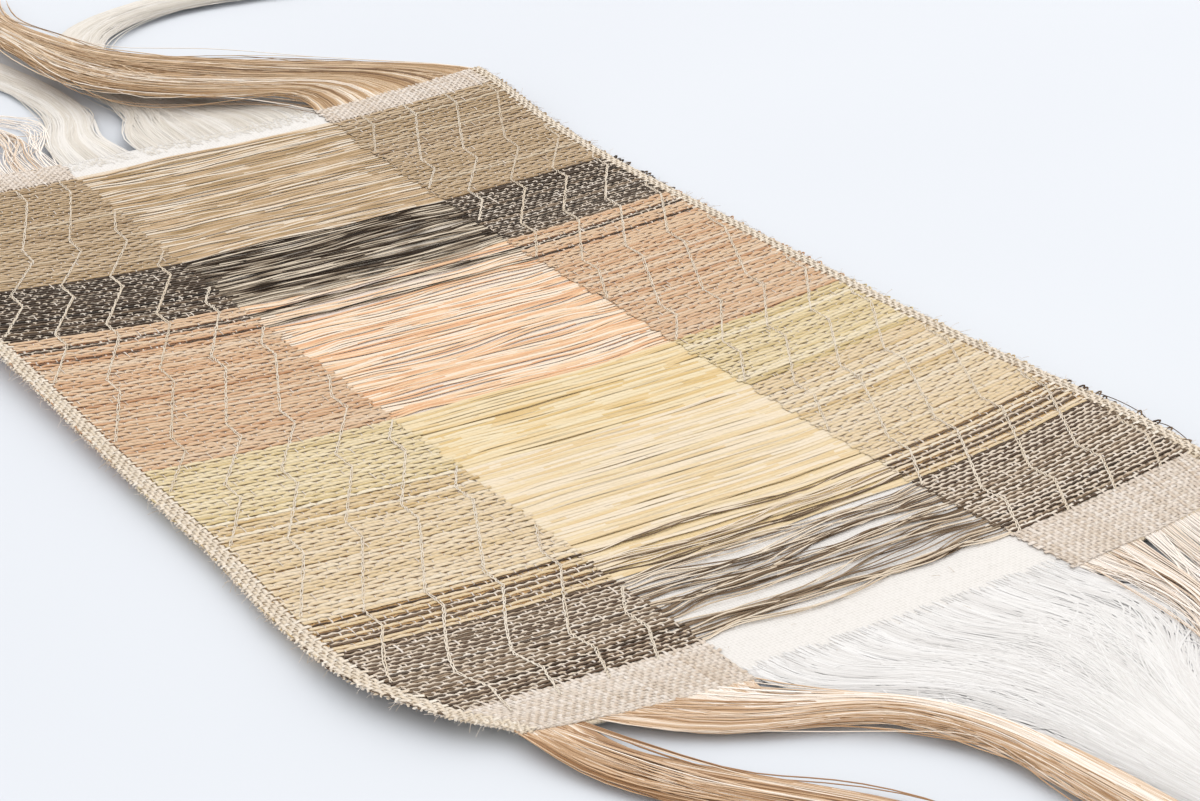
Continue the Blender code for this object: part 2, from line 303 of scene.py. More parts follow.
def add_node(tree, kind, inputs=(), stops=None, **settings):
    """Add a node with its settings, its socket values or links, and a ramp's colour stops."""
    made = tree.nodes.new("ShaderNode" + kind)
    for name, value in settings.items():
        setattr(made, name, value)
    for key, value in dict(inputs).items():
        if isinstance(value, bpy.types.NodeSocket):
            tree.links.new(value, made.inputs[key])
        else:
            made.inputs[key].default_value = value
    if stops:
        ramp = made.color_ramp.elements
        while len(ramp) < len(stops):
            ramp.new(0.5)
        for element, (place, colour) in zip(ramp, stops):
            element.position = place
            element.color = linear(colour)
    return made


def calc(tree, operation, *values):
    """The result of one sum on numbers and sockets."""
    return add_node(tree, "Math", dict(enumerate(values)), operation=operation).outputs[0]


def multiply_colours(tree, one, other):
    """One colour multiplied by another, as a stain or a shadow does it."""
    return add_node(
        tree, "Mix", {0: 1.0, 6: one, 7: other}, data_type="RGBA", blend_type="MULTIPLY"
    ).outputs[2]


def new_material(name):
    """An empty material and its node tree."""
    material = bpy.data.materials.new(name)
    material.use_nodes = True
    material.node_tree.nodes.clear()
    return material, material.node_tree


def end_material(tree, **sockets):
    """End a network with its shader, set and linked by its sockets, and with its output."""
    inputs = {name.replace("_", " "): value for name, value in sockets.items()}
    shader = add_node(tree, "BsdfPrincipled", inputs)
    output = add_node(tree, "OutputMaterial")
    tree.links.new(shader.outputs[0], output.inputs["Surface"])


print("Middle grey, in linear light:", round(linear("#808080")[0], 3))

# %% [markdown]
# Yarn is spun from short fibres and twisted from two plies. That gives the eye three things: a
# slanting twist, an uneven colour where thick and thin places took the dye, and a matt surface
# with a soft glow along its edges from the loose fibres. The twist comes from a sine that winds
# round the tube: it tilts the normals as a bump, and it also darkens the colour in the grooves
# between the plies, which is painted shade. The colour comes from noise stretched along the yarn
# and moved by its tint, and the glow from the shader's sheen. The real twist, about 0.8 mm a turn,
# is finer than a pixel of the picture, so it is drawn at twice that or more.
# Two settings are for some yarns only. With threads, the noise changes round the tube as well,
# so that one tube looks like a few finer threads side by side. With patchy, a second noise lies
# over the whole cloth, long across it and short along it, because yarn never dyes evenly.

# %% Yarn finish
PATCH_LENGTH, PATCH_WIDTH = 20.0, 2.4
# A yarn's tint times this moves its streaks and its twist to a place of their own.
OWN_PLACE = 97.0


def yarn_material(
    name, shades, roughness, sheen, streak_mm=14.0, twist_mm=1.8, spread=0.55, depth=0.06,
    threads=0.0, patchy=0.0, gloss=0.3,
):
    """A spun yarn of so many shades, from its deepest to its lightest, with twist so deep."""
    material, tree = new_material(name)
    strand = add_node(tree, "UVMap", uv_map="strand")
    axes = add_node(tree, "SeparateXYZ", {0: strand.outputs[0]})
    around, run = axes.outputs["X"], axes.outputs["Y"]
    tint = add_node(tree, "Attribute", attribute_name="tint").outputs["Fac"]
    own_place = calc(tree, "MULTIPLY", tint, OWN_PLACE)
    streak_run = calc(tree, "MULTIPLY", run, 1 / streak_mm)
    thread = calc(tree, "MULTIPLY_ADD", around, threads, own_place)
    place = add_node(tree, "CombineXYZ", {0: streak_run, 1: thread})
    streaks = add_node(
        tree, "TexNoise", {"Vector": place.outputs[0], "Scale": 1.0, "Detail": 3.0}
    )
    centred = calc(tree, "MULTIPLY_ADD", streaks.outputs["Fac"], spread, -spread / 2)
    shade = calc(tree, "ADD", tint, centred)
    if patchy:
        spot = add_node(tree, "TexCoord").outputs["Object"]
        patch_scale = (1 / (PATCH_LENGTH * MM), 1 / (PATCH_WIDTH * MM), 0.0)
        stretched = add_node(tree, "Mapping", {"Vector": spot, "Scale": patch_scale})
        patches = add_node(
            tree, "TexNoise", {"Vector": stretched.outputs[0], "Scale": 1.0, "Detail": 1.0}
        )
        paler = calc(tree, "MULTIPLY_ADD", patches.outputs["Fac"], patchy, -patchy / 2)
        shade = calc(tree, "ADD", shade, paler)
    stops = [(i / (len(shades) - 1), colour) for i, colour in enumerate(shades)]
    colour = add_node(tree, "ValToRGB", {0: shade}, stops=stops)
    turns = calc(tree, "MULTIPLY_ADD", run, 1 / twist_mm, around)
    own_turns = calc(tree, "ADD", turns, own_place)
    twist = calc(tree, "SINE", calc(tree, "MULTIPLY", own_turns, math.tau))
    # Painted shade: the colour darkens in the grooves between the plies of the twist.
    groove_shade = add_node(
        tree, "MapRange", {"Value": twist, "From Min": -1.0, "To Min": 1 - 2 * depth, "To Max": 1.0}
    )
    bump = add_node(tree, "Bump", {"Height": twist, "Strength": depth * 4, "Distance": 0.1 * MM})
    end_material(
        tree, Base_Color=multiply_colours(tree, colour.outputs[0], groove_shade.outputs[0]),
        Roughness=roughness, Specular_IOR_Level=gloss, Sheen_Weight=sheen, Sheen_Roughness=0.4,
        Normal=bump.outputs[0],
    )
    return material


# %% [markdown]
# The bands of the cloth lie across it: taupe, charcoal, peach, olive yellow, straw and grey
# brown, from the far end to the near one. The table lists them the other way round, by where each
# starts and stops along the warp. In the side panels the coloured weft is a dull wool. In the
# middle panel the same colours float loose on the white, in a smoother yarn, so each band has a
# second finish. Its shades are paler: painted light, for the more light that the loose floats
# catch. The shades run from the deepest to the lightest.
# Each band's last two colours are for later: they tint the ground that shows between its yarns,
# at the sides and in the middle. This tint is painted shade and bounced light, the warm colour
# that shaded gaps take from the yarns around them; at the sides it is partly the real dye of the
# weft, which passes under there.

# %% Dyed weft yarns
# A band's last two colours are painted shade and bounced light for the gaps between its yarns, at
# the sides partly the weft's real dye.
Band = namedtuple("Band", "name start stop under_side under_middle")
BANDS = [
    Band("grey_brown", -205.0, -163.5, "#A89C8E", "#FFFFFF"),
    Band("straw", -163.5, -83.0, "#FEE6BC", "#FFE6B0"),
    Band("olive_yellow", -83.0, -41.6, "#F7E6BC", "#FFE6B0"),
    Band("peach", -41.6, 60.8, "#FBD4BC", "#FFF2E8"),
    Band("charcoal", 60.8, 104.0, "#8A7B6C", "#E8E0D4"),
    Band("taupe", 104.0, 190.0, "#D6C0A4", "#F8EAD6"),
]
WOOL_SHADES = {
    "taupe": ("#92795B", "#AA916E", "#BAA385", "#C8B89F"),
    "charcoal": ("#261E16", "#382C21", "#4F4033", "#7A6855"),
    "peach": ("#B2825B", "#CAA37F", "#D3B89A", "#DBCAB7"),
    "olive_yellow": ("#B8A16C", "#D3C093", "#DDCEAB", "#E5DBC5"),
    "straw": ("#BFA271", "#D4BE97", "#DCCAAD", "#E2D7C3"),
    "grey_brown": ("#403327", "#584536", "#6F5C49", "#8F7B66"),
}
# Paler than the wool: painted light, for the more light that the loose floats catch.
FLOAT_SHADES = {
    "taupe": ("#A38963", "#C2A888", "#D3BFA5", "#E0D6C8"),
    "charcoal": ("#261C13", "#3A2C1F", "#A09280", "#D8CDBC"),
    "peach": ("#D8A780", "#E3C29F", "#E8D3BC", "#E8DBCB"),
    "olive_yellow": ("#CFB47F", "#DAC499", "#DCCAA5", "#DFD2B4"),
    "straw": ("#D5BE95", "#DBCAA8", "#DECFB4", "#E0D4C0"),
    "grey_brown": ("#5D4C3C", "#816D58", "#CAB8A1", "#E9DECE"),
}
DARK = ("charcoal", "grey_brown")
wool, silk = {}, {}
for name, shades in WOOL_SHADES.items():
    dark = name in DARK
    wool[name] = yarn_material(
        f"dyed_wool_weft_{name}", shades, roughness=0.88, sheen=0.05 if dark else 0.2,
        streak_mm=9.0, threads=0.0 if dark else 7.0, patchy=0.0 if dark else 0.4,
    )
for name, shades in FLOAT_SHADES.items():
    silk[name] = yarn_material(
        f"smooth_float_yarn_{name}", shades, roughness=0.8 if name in DARK else 0.6, sheen=0.0,
        streak_mm=16.0, twist_mm=2.6, spread=0.6, depth=0.02, threads=12.0,
        patchy=1.8 if name == "charcoal" else 0.7, gloss=0.15,
    )
print("Dyed finishes:", len(wool), "wool and", len(silk), "smooth")

# %% [markdown]
# The undyed yarns are paler. Linen makes the warp, the headings and the fine picks that bind the
# ground. Two plied cottons, with a little more glow from their fibres, make the edges and the
# figure lines.

# %% Undyed yarns
linen_warp = yarn_material(
    "wet_spun_linen_warp", ("#C6B5A4", "#D5C8BB", "#DFD5CC", "#E7E0DA"),
    roughness=0.8, sheen=0.2, streak_mm=20.0,
)
linen_pick = yarn_material(
    "wet_spun_linen_ground_pick", ("#B8A28A", "#D0C0AC", "#E0D4C5", "#ECE4D9"),
    roughness=0.82, sheen=0.2, streak_mm=6.0, twist_mm=3.2,
)
cotton_cord = yarn_material(
    "plied_cotton_selvedge_cord", ("#CDBDA6", "#DED0BC", "#E9DECF", "#F1EADF"),
    roughness=0.85, sheen=0.3, streak_mm=7.0,
)
cotton_line = yarn_material(
    "plied_cotton_figure_thread", ("#D0BDA3", "#DCCDB8", "#E6DBCB", "#EEE6DA"),
    roughness=0.8, sheen=0.3, streak_mm=5.0,
)
print("Yarn finishes:", len(bpy.data.materials))

# %% [markdown]
# The loose warp ends are the same yarns before weaving presses them flat. The linen ones are
# wet-spun, which lays the fibres down, so a bundle of them has a long soft gloss like hair. The
# white ones are finer and more even still. Their twist doesn't show, and the streaks are longer
# here, because loose yarn lies straight and its shade changes slowly.

# %% Loose warp ends
LOOSE_YARN = dict(roughness=0.6, sheen=0.1, twist_mm=3.0, depth=0.0, threads=7.0)
linen_fringe = yarn_material(
    "wet_spun_linen_ends", ("#98704A", "#D0AE8A", "#EBDBCA", "#FDF7F2"),
    streak_mm=50.0, spread=1.1, **LOOSE_YARN,
)
brown_fringe = yarn_material(
    "wet_spun_brown_linen_ends", ("#725437", "#BA976F", "#E0C9AB", "#F3ECE4"),
    streak_mm=50.0, spread=1.1, **LOOSE_YARN,
)
white_fringe = yarn_material(
    "mercerised_white_cotton_ends", ("#D1D1D2", "#D7D7D9", "#DCDDDF", "#E2E3E6"),
    streak_mm=70.0, spread=0.3, **LOOSE_YARN,
)
# The same white ends at the far end, painted a little darker and warmer: painted shade for the shade
# that they lie in.
shaded_white_fringe = yarn_material(
    "mercerised_white_cotton_ends_painted_shade", ("#C9C4BA", "#D3CEC7", "#DAD7D2", "#E1DFDD"),
    streak_mm=70.0, spread=0.6, **LOOSE_YARN,
)
print("Finishes with the loose ends:", len(bpy.data.materials))

# %% [markdown]
# Under the yarns lies the ground: a plain weave, over one and under one both ways. It shows only
# in the gaps, so here a sheet with a relief is enough. Its UV map holds millimetres across and
# along. Two sines cross to make a chessboard of cells, and in each cell the relief is the round
# back of a warp yarn or of a weft yarn. The relief also darkens the colour between the yarn backs,
# which is painted shade in the hollows of the weave. The white middle is finer than the linen
# sides. A second ramp, with steps instead of slopes, tints the ground band by band along the
# cloth. That tint is painted shade and bounced light, the warm colour that the gaps between a
# band's yarns take from the yarns around them; at the sides it is partly the weft's real dye,
# which passes under there. White leaves the headings as they are.

# %% Woven ground finish
END_PITCH, WHITE_PITCH = 1.6, 1.15
# How much the relief darkens the colour between the yarn backs: painted shade in the hollows of the
# weave.
PAINTED_RELIEF_SHADE = 0.55
RAMP_START, RAMP_LENGTH = 0.35, 0.7
UNDYED = "#FFFFFF"


def ground_material(name, shades, pitch_mm, roughness, depth, gap_dyes_and_shades):
    """A plain weave of threads so far apart, drawn as relief on the sheet, dyed in bands."""
    material, tree = new_material(name)
    cloth_map = add_node(tree, "UVMap", uv_map="cloth")
    axes = add_node(tree, "SeparateXYZ", {0: cloth_map.outputs[0]})
    waves = [
        calc(tree, "SINE", calc(tree, "MULTIPLY", axes.outputs[axis], math.pi / pitch_mm))
        for axis in ("X", "Y")
    ]
    which = calc(tree, "GREATER_THAN", calc(tree, "MULTIPLY", *waves), 0.0)
    backs = [calc(tree, "ABSOLUTE", wave) for wave in waves]
    relief = add_node(tree, "Mix", {0: which, 2: backs[0], 3: backs[1]}).outputs[0]
    mottle = add_node(
        tree, "TexNoise", {"Vector": cloth_map.outputs[0], "Scale": 0.35, "Detail": 4.0}
    )
    # Painted shade: the colour is darker where the relief dips between the yarn backs.
    shade = calc(tree, "MULTIPLY_ADD", relief, PAINTED_RELIEF_SHADE, mottle.outputs["Fac"])
    stops = [
        (RAMP_START + RAMP_LENGTH * i / len(shades), colour) for i, colour in enumerate(shades)
    ]
    base = add_node(tree, "ValToRGB", {0: shade}, stops=stops)
    # A stepped ramp along the cloth tints the ground band by band: painted shade and bounced light
    # for the gaps between the yarns.
    length = FAR_END - NEAR_END
    place = calc(tree, "MULTIPLY_ADD", axes.outputs["Y"], 1 / length, -NEAR_END / length)
    starts = [NEAR_END, *(band.start for band in BANDS), BANDS[-1].stop]
    colours = [UNDYED, *gap_dyes_and_shades, UNDYED]
    stops = [((start - NEAR_END) / length, colour) for start, colour in zip(starts, colours)]
    gap_dye_and_shade = add_node(tree, "ValToRGB", {0: place}, stops=stops)
    gap_dye_and_shade.color_ramp.interpolation = "CONSTANT"
    bump = add_node(tree, "Bump", {"Height": relief, "Strength": depth, "Distance": 0.3 * MM})
    end_material(
        tree, Base_Color=multiply_colours(tree, base.outputs[0], gap_dye_and_shade.outputs[0]),
        Roughness=roughness, Specular_IOR_Level=0.25, Sheen_Weight=0.2, Sheen_Roughness=0.5,
        Normal=bump.outputs[0],
    )
    return material


linen_ground = ground_material(
    "plain_woven_linen_ground", ("#B79E7C", "#D3C1A5", "#E5D8C3"), END_PITCH,
    roughness=0.85, depth=0.6, gap_dyes_and_shades=[band.under_side for band in BANDS],
)
white_ground = ground_material(
    "plain_woven_white_cotton_ground", ("#CDCCCA", "#D6D5D4", "#DEDDDD"), WHITE_PITCH,
    roughness=0.75, depth=0.5, gap_dyes_and_shades=[band.under_middle for band in BANDS],
)
print("Ground colours, with the headings:", len(BANDS) + 2)

# %% [markdown]
# The sheet is a grid bent onto the cloth's surface and made 1 mm thick by Solidify, so it lies
# low in the cloth and the yarns stand out of it. It is the piece that stands for the cloth's
# solid. A grid from bmesh is the plain way to get even cells to bend.

# %% The woven ground sheet
SHEET_THICKNESS, SHEET_LEVEL = 1.0, 0.05
SHEET_CELLS = (66, 120)
EDGE_INSET = 0.012
WHITE_OVERLAP = 0.02

bm = bmesh.new()
bmesh.ops.create_grid(bm, x_segments=SHEET_CELLS[0], y_segments=SHEET_CELLS[1], size=1.0)
cloth_uv = bm.loops.layers.uv.new("cloth")
flat_places = {
    vert: (vert.co.x, mix(NEAR_END, FAR_END, (vert.co.y + 1) / 2)) for vert in bm.verts
}
for vert, (across, along) in flat_places.items():
    vert.co = Vector(on_cloth(across * (1 - EDGE_INSET), along, SHEET_LEVEL)) * MM
for face in bm.faces:
    middle = sum(flat_places[vert][0] for vert in face.verts) / 4
    face.material_index = int(LEFT_LINE - WHITE_OVERLAP < middle < RIGHT_LINE + WHITE_OVERLAP)
    face.smooth = True
    for loop in face.loops:
        across, along = flat_places[loop.vert]
        loop[cloth_uv].uv = (across * HALF_WIDTH, along)
sheet_mesh = bpy.data.meshes.new("ground_cloth")
bm.to_mesh(sheet_mesh)
bm.free()
sheet_mesh.materials.append(linen_ground)
sheet_mesh.materials.append(white_ground)
ground_cloth = add_object("ground_cloth", sheet_mesh)
solidify = ground_cloth.modifiers.new("thickness", "SOLIDIFY")
solidify.thickness = SHEET_THICKNESS * MM
solidify.offset = 1.0
TRIANGLES["ground_cloth"] = 4 * (SHEET_CELLS[0] * SHEET_CELLS[1] + sum(SHEET_CELLS))
print("ground_cloth:", TRIANGLES["ground_cloth"], "triangles")

# %% [markdown]
# Setting out a weave is what a weaver does on squared paper. The ends are the warp yarns, 1.6 mm
# apart in each side panel. The picks are the weft yarns: coloured ones 1.8 mm apart in the bands,
# and finer linen ones in the heading at each end. A few thin dark stripes of one or two picks
# break into the light bands beside the two dark ones.

# %% Set out ends, picks and bands
PICK_PITCH, HEADING_PITCH = 1.8, 1.5
FIRST_PICK = 0.8
NEAR_HEADING, FAR_HEADING = -205.0, 190.0
SELVEDGE_LEFT, SELVEDGE_RIGHT = 5.6, 4.4
LEFT_WIDTH, RIGHT_WIDTH = 88.0, 76.0

# Thin dark stripes: where each starts, its number of picks and its colour.
STRIPES = [
    (-159.0, 2, "grey_brown"),
    (-153.6, 2, "grey_brown"),
    (-147.2, 1, "grey_brown"),
    (43.0, 1, "charcoal"),
    (51.0, 2, "charcoal"),
]


def panel_ends(selvedge, line, width, border):
    """Places across of the ends of one side panel, from its selvedge to the white panel."""
    count = int((width - border) / END_PITCH)
    reach = border / width + (np.arange(count) + 0.5) / count * (1 - border / width)
    return mix(selvedge, line, reach)


left_ends = panel_ends(-1.0, LEFT_LINE, LEFT_WIDTH, SELVEDGE_LEFT)
right_ends = panel_ends(1.0, RIGHT_LINE, RIGHT_WIDTH, SELVEDGE_RIGHT)[::-1]
band_picks = np.arange(NEAR_HEADING + PICK_PITCH / 2, FAR_HEADING, PICK_PITCH)
near_picks = np.arange(NEAR_END + FIRST_PICK, NEAR_HEADING, HEADING_PITCH)
far_picks = np.arange(FAR_HEADING + FIRST_PICK, FAR_END, HEADING_PITCH)
picks = np.concatenate([near_picks, band_picks, far_picks])
is_band = (picks > NEAR_HEADING) & (picks < FAR_HEADING)

pick_colours = np.full(len(picks), "linen", dtype=object)
for band in BANDS:
    pick_colours[is_band & (picks >= band.start) & (picks < band.stop)] = band.name
for start, count, name in STRIPES:
    first = int(np.argmin(abs(picks - start)))
    pick_colours[first : first + count] = name
is_dark = np.isin(pick_colours, DARK)
in_far_stripe = (pick_colours == "charcoal") & (picks < STRIPES[-1][0] + 4 * PICK_PITCH)
print("Ends:", len(left_ends), "and", len(right_ends), "- picks:", len(picks))

# %% [markdown]
# A weaver's chart says for each end and pick whether the end comes up over the pick. In a heading
# every other end does, which is plain weave. In a band only every fourth end does, so the coloured
# yarn shows as dashes. From one pick to the next the raised ends move on by one place or by two,
# at random, so the dashes never stand in straight columns. Some ends are missed and a few come up
# astray, as happens when they are picked up by hand.

# %% The weaver's chart
UP_EVERY = 4
MOVES = {1: 0.35, 2: 0.65}
MISSED, ASTRAY = 0.16, 0.03


def chart(chance, ends):
    """True where an end comes up over a pick, for each end and pick of a side panel."""
    end_numbers = np.arange(ends)[:, None]
    plain = (end_numbers + np.arange(len(picks))) % 2 == 0
    moves = chance.choice(list(MOVES), len(picks), p=list(MOVES.values()))
    spaced = (end_numbers + np.cumsum(moves)) % UP_EVERY == 0
    slips = chance.random(spaced.shape)
    spaced = (spaced & (slips > MISSED)) | (slips < ASTRAY)
    return np.where(is_band, spaced, plain)


chance = np.random.default_rng(3)
left_chart = chart(chance, len(left_ends))
right_chart = chart(chance, len(right_ends))
print("Ends up over a pick, share:", round(float(left_chart.mean()), 2))

# %% [markdown]
# Now the two sets of yarns. Where the chart is true the end is high and the pick is low, and the
# other way round where it is false. One point at each crossing is enough, because the yarns are
# about as wide as the crossings are apart. The heights are worked out so that the yarns touch and
# press into each other slightly, as woven yarns do. The soft light wefts are thick and flat, the
# dark ones thin and round.

# %% Weft of the side panels
# Deep is the height of a pick where an end passes over it.
WeftLook = namedtuple("WeftLook", "radius flat deep")
LIGHT_WEFT = WeftLook(1.0, 0.38, 1.28)
DARK_WEFTS = {"charcoal": WeftLook(0.72, 0.6, 1.12), "grey_brown": WeftLook(0.55, 0.75, 1.12)}
HEADING_WEFT = WeftLook(0.84, 0.45, 1.12)
PINCH = 0.15
WEFT_TOP = 1.5
PLAIN_MIDDLE, PLAIN_SWING = 1.3, 0.14
# A pick wanders twice: over what lengths across and along the cloth, and how far.
SHORT_WANDER, LONG_WANDER = (11.0, 2.2, 0.3), (45.0, 30.0, 0.5)
HEIGHT_JITTER, LINE_JITTER, RADIUS_JITTER = 0.05, 0.006, 0.08
# The straw picks among the near stripes and the far stripes themselves are slimmer.
STRIPED_STRAW, STRAW_SLIM, STRIPE_SLIM = (-164.0, -145.0), 0.78, 0.6


def side_weft(chance, ends, up, chosen, border, line, deep):
    """Paths of the chosen picks over one side panel, from its border to the white panel."""
    places = np.sort([border, *ends, line])
    up = np.pad(up[:, chosen].T, ((0, 0), (1, 1)))
    height = np.where(
        is_band[chosen][:, None],
        np.where(up, deep, WEFT_TOP),
        PLAIN_MIDDLE - PLAIN_SWING * np.where(up, 1, -1),
    )
    x, y = places[None, :] * HALF_WIDTH, picks[chosen][:, None]
    along = y + wander(chance, x, y, *SHORT_WANDER) + wander(chance, x, y, *LONG_WANDER)
    height = height + HEIGHT_JITTER * chance.standard_normal(height.shape)
    places = np.repeat(places[None, :], len(chosen), axis=0)
    places[:, 0 if border > line else -1] += chance.normal(0, LINE_JITTER, len(chosen))
    return on_cloth(places, along, height), 1 - PINCH * up


slim = np.where((picks > STRIPED_STRAW[0]) & (picks < STRIPED_STRAW[1]), STRAW_SLIM, 1.0)
slim[in_far_stripe] = STRIPE_SLIM
PANELS = (
    (left_ends, left_chart, -1 + SELVEDGE_LEFT / LEFT_WIDTH * (LEFT_LINE + 1), LEFT_LINE),
    (right_ends, right_chart, 1 - SELVEDGE_RIGHT / RIGHT_WIDTH * (1 - RIGHT_LINE), RIGHT_LINE),
)
chance = np.random.default_rng(5)
woven_pieces = []
for colour in ["linen", *WOOL_SHADES]:
    chosen = np.flatnonzero(pick_colours == colour)
    look = HEADING_WEFT if colour == "linen" else DARK_WEFTS.get(colour, LIGHT_WEFT)
    groups = []
    for ends, up, border, line in PANELS:
        paths, pinch = side_weft(chance, ends, up, chosen, border, line, look.deep)
        uneven = chance.normal(1, RADIUS_JITTER, pinch.shape)
        radius = look.radius * slim[chosen][:, None] * pinch * uneven
        tint = draw_tints(chance, 0.5, 0.2, len(chosen))
        groups.append(Strands(paths, radius, look.flat, tint))
    finish = linen_warp if colour == "linen" else wool[colour]
    woven_pieces.append(make_strands(f"side_weft_{colour}", groups, finish))

# %% [markdown]
# The warp ends run the whole length, heading to heading, and come up in the gaps between the
# dashes. The light wefts are thick and soft, so they press together and the ends all but sink
# into them. The dark wefts are thinner: there the ends stand out. So an end has another thickness
# in each band. The left panel looks a little darker, so its ends are slightly thinner.

# %% Warp ends of the side panels
END_HIGH, END_LOW = 1.62, 0.95
END_RADII = {"charcoal": 0.29, "grey_brown": 0.38}
LIGHT_RADIUS, STRIPE_RADIUS, HEADING_RADIUS = 0.2, 0.45, 0.78
END_WANDER = (1.4, 22.0, 0.0022)


def side_warp(chance, ends, up):
    """Paths of the ends of one side panel."""
    height = np.where(
        is_band,
        np.where(up, END_HIGH, END_LOW),
        PLAIN_MIDDLE + PLAIN_SWING * np.where(up, 1, -1),
    )
    across, along = ends[:, None], picks[None, :]
    across = across + wander(chance, across * HALF_WIDTH, along, *END_WANDER)
    return on_cloth(across, along, height)


end_radius = np.array([END_RADII.get(colour, LIGHT_RADIUS) for colour in pick_colours])
end_radius[in_far_stripe] = STRIPE_RADIUS
end_radius[~is_band] = HEADING_RADIUS
chance = np.random.default_rng(8)
for name, ends, up, worn in (
    ("left", left_ends, left_chart, 0.9), ("right", right_ends, right_chart, 1.0)
):
    paths = side_warp(chance, ends, up)
    radius = worn * end_radius * chance.normal(1, 0.1, (len(ends), 1))
    group = Strands(paths, radius, 0.6, draw_tints(chance, 0.55, 0.22, len(ends)))
    woven_pieces.append(make_strands(f"warp_ends_{name}", [group], linen_warp))

# %% [markdown]
# In the dark bands one more yarn shows. Between each two dark picks a pale linen one binds the
# ground, and where it goes over and under the ends it looks like a row of beads. Each bead is a
# little higher and thicker than the place beside it, and the next row is shifted by one.

# %% Ground picks of the dark bands
BINDER_LEVEL, BEAD_HEIGHT, BEAD_SWELL = 1.42, 0.1, 0.8
FAR_BINDER, NEAR_BINDER = 0.33, 0.52
BINDER_WANDER = (7.0, 2.0, 0.3)

between = (picks[:-1] + PICK_PITCH / 2)[is_dark[:-1] & is_dark[1:]][:, None]
thickness = np.where(between > 0, FAR_BINDER, NEAR_BINDER)
groups = []
for ends, worn in ((left_ends, 0.82), (right_ends, 1.0)):
    along = between + wander(chance, ends[None, :] * HALF_WIDTH, between, *BINDER_WANDER)
    odd = (np.arange(len(ends)) + np.arange(len(between))[:, None]) % 2
    beads = BEAD_HEIGHT * np.where(odd, 1, -1)
    paths = on_cloth(ends[None, :], along, BINDER_LEVEL + beads)
    radius = worn * thickness + BEAD_SWELL * beads
    groups.append(Strands(paths, radius, 0.8, draw_tints(chance, 0.5, 0.2, len(between))))
woven_pieces.append(make_strands("ground_picks", groups, linen_pick))

# %% [markdown]
# In the middle panel each coloured pick leaves the weave and floats free over the white cloth to
# the other side panel, as a few loose strands. Floats this long slide together, so the white
# shows through in long slivers. A smooth random field, long across the cloth and short along it,
# pushes neighbouring strands the same way: they gather where it closes and part where it opens.
# Each strand has a small wander of its own too, so some of them cross. The light colours lie
# flat and close, and the grey brown is thin, loose and lifted.

# %% Floats of the middle panel
# Strands a pick, their radius and flatness, how far and over what width they gather, their own
# wander, how far they lift, and the share of pale ones.
FloatLook = namedtuple("FloatLook", "strands radius flat gather cell own lift pale")
FLOAT_LOOKS = {
    "taupe": FloatLook(3, 0.58, 0.24, 2.6, 6.0, 0.8, 0.15, 0.45),
    "charcoal": FloatLook(3, 0.46, 0.5, 2.6, 5.0, 0.9, 0.5, 0.45),
    "peach": FloatLook(3, 0.57, 0.24, 3.2, 8.0, 0.6, 0.1, 0.4),
    "olive_yellow": FloatLook(3, 0.84, 0.22, 1.2, 5.0, 0.4, 0.15, 0.5),
    "straw": FloatLook(3, 0.84, 0.22, 1.2, 5.0, 0.4, 0.15, 0.5),
    "grey_brown": FloatLook(3, 0.28, 0.7, 4.6, 4.0, 1.2, 0.7, 0.5),
}
FLOAT_POINTS = 30
MIDDLE_WIDTH = 105.0
GATHER_LENGTH, OWN_LENGTH, LIFT_LENGTH = 38.0, 13.0, 17.0
TUCKED, FREE_FROM = 0.012, 0.16
FLOAT_LEVEL = 1.15


def float_paths(chance, along, look):
    """Loose strands over the middle panel, one for each value of along."""
    share = np.linspace(-TUCKED, 1 + TUCKED, FLOAT_POINTS)[None, :]
    x, y = share * MIDDLE_WIDTH, along[:, None]
    free = ease(np.clip(np.minimum(share, 1 - share) / FREE_FROM, 0, 1))
    gathered = wander(chance, x, y, GATHER_LENGTH, look.cell, look.gather)
    row = np.arange(len(along))[:, None] * 7.0
    own = wander(chance, x, row, OWN_LENGTH, 1.0, look.own)
    lift = 0.5 + wander(chance, x, row, LIFT_LENGTH, 1.0, 0.5)
    height = FLOAT_LEVEL + look.radius * look.flat + look.lift * free * lift
    return on_cloth(mix(LEFT_LINE, RIGHT_LINE, share), y + free * (gathered + own), height)


chance = np.random.default_rng(21)
float_pieces = []
for colour, look in FLOAT_LOOKS.items():
    along = np.repeat(picks[pick_colours == colour], look.strands)
    count = len(along)
    paths = float_paths(chance, along + chance.normal(0, 0.3, count), look)
    pale = chance.random(count) < look.pale
    light, deep = chance.uniform(0.7, 1.0, count), chance.uniform(0.0, 0.42, count)
    radius = look.radius * chance.normal(1, 0.12, (count, 1))
    group = Strands(paths, radius, look.flat, np.where(pale, light, deep))
    float_pieces.append(make_strands(f"floats_{colour}", [group], silk[colour]))

# %% [markdown]
# Over each side panel runs a figure of stepped lines, in a pale thin doubled thread. On its way
# from the far end to the near one, a line keeps to one warp end for 10 mm, then slants by twelve
# ends towards the left selvedge and keeps straight again, so that the lines make tall honeycomb
# cells. The thread lies on top of the weave and dips at each pick, where the weft ties it down,
# which gives it its beaded look.

# %% Stepped figure lines
# Where along the cloth the lines run straight, from the far end.
STEPS = np.array((184.0, 136.0, 102.0, 66.0, 26.0, -21.0, -57.0, -96.0, -143.0, -185.0, -225.0))
STEP_HALF, COLUMN_GAP = 5.0, 19.0
LINES_PER_PANEL = 14
LINE_POINTS = 180
LINE_RADIUS, LINE_HEIGHT, LINE_DIP = 0.23, 1.76, 0.2
LINE_LEAN = 0.11
FINE_PLACES, FEWEST_INSIDE = 2000, 40
# Where the left edge and the sides of the white panel lie, in millimetres from the middle.
LEFT_X, WHITE_LEFT_X, WHITE_RIGHT_X = -136.0, -48.0, 57.0
# In each panel: the first line's place, and the limits that cut the lines off.
FIGURES = ((-113.3, -129.5, -49.0), (69.3, 58.0, 128.0))
TWINS = (-0.27, 0.27)


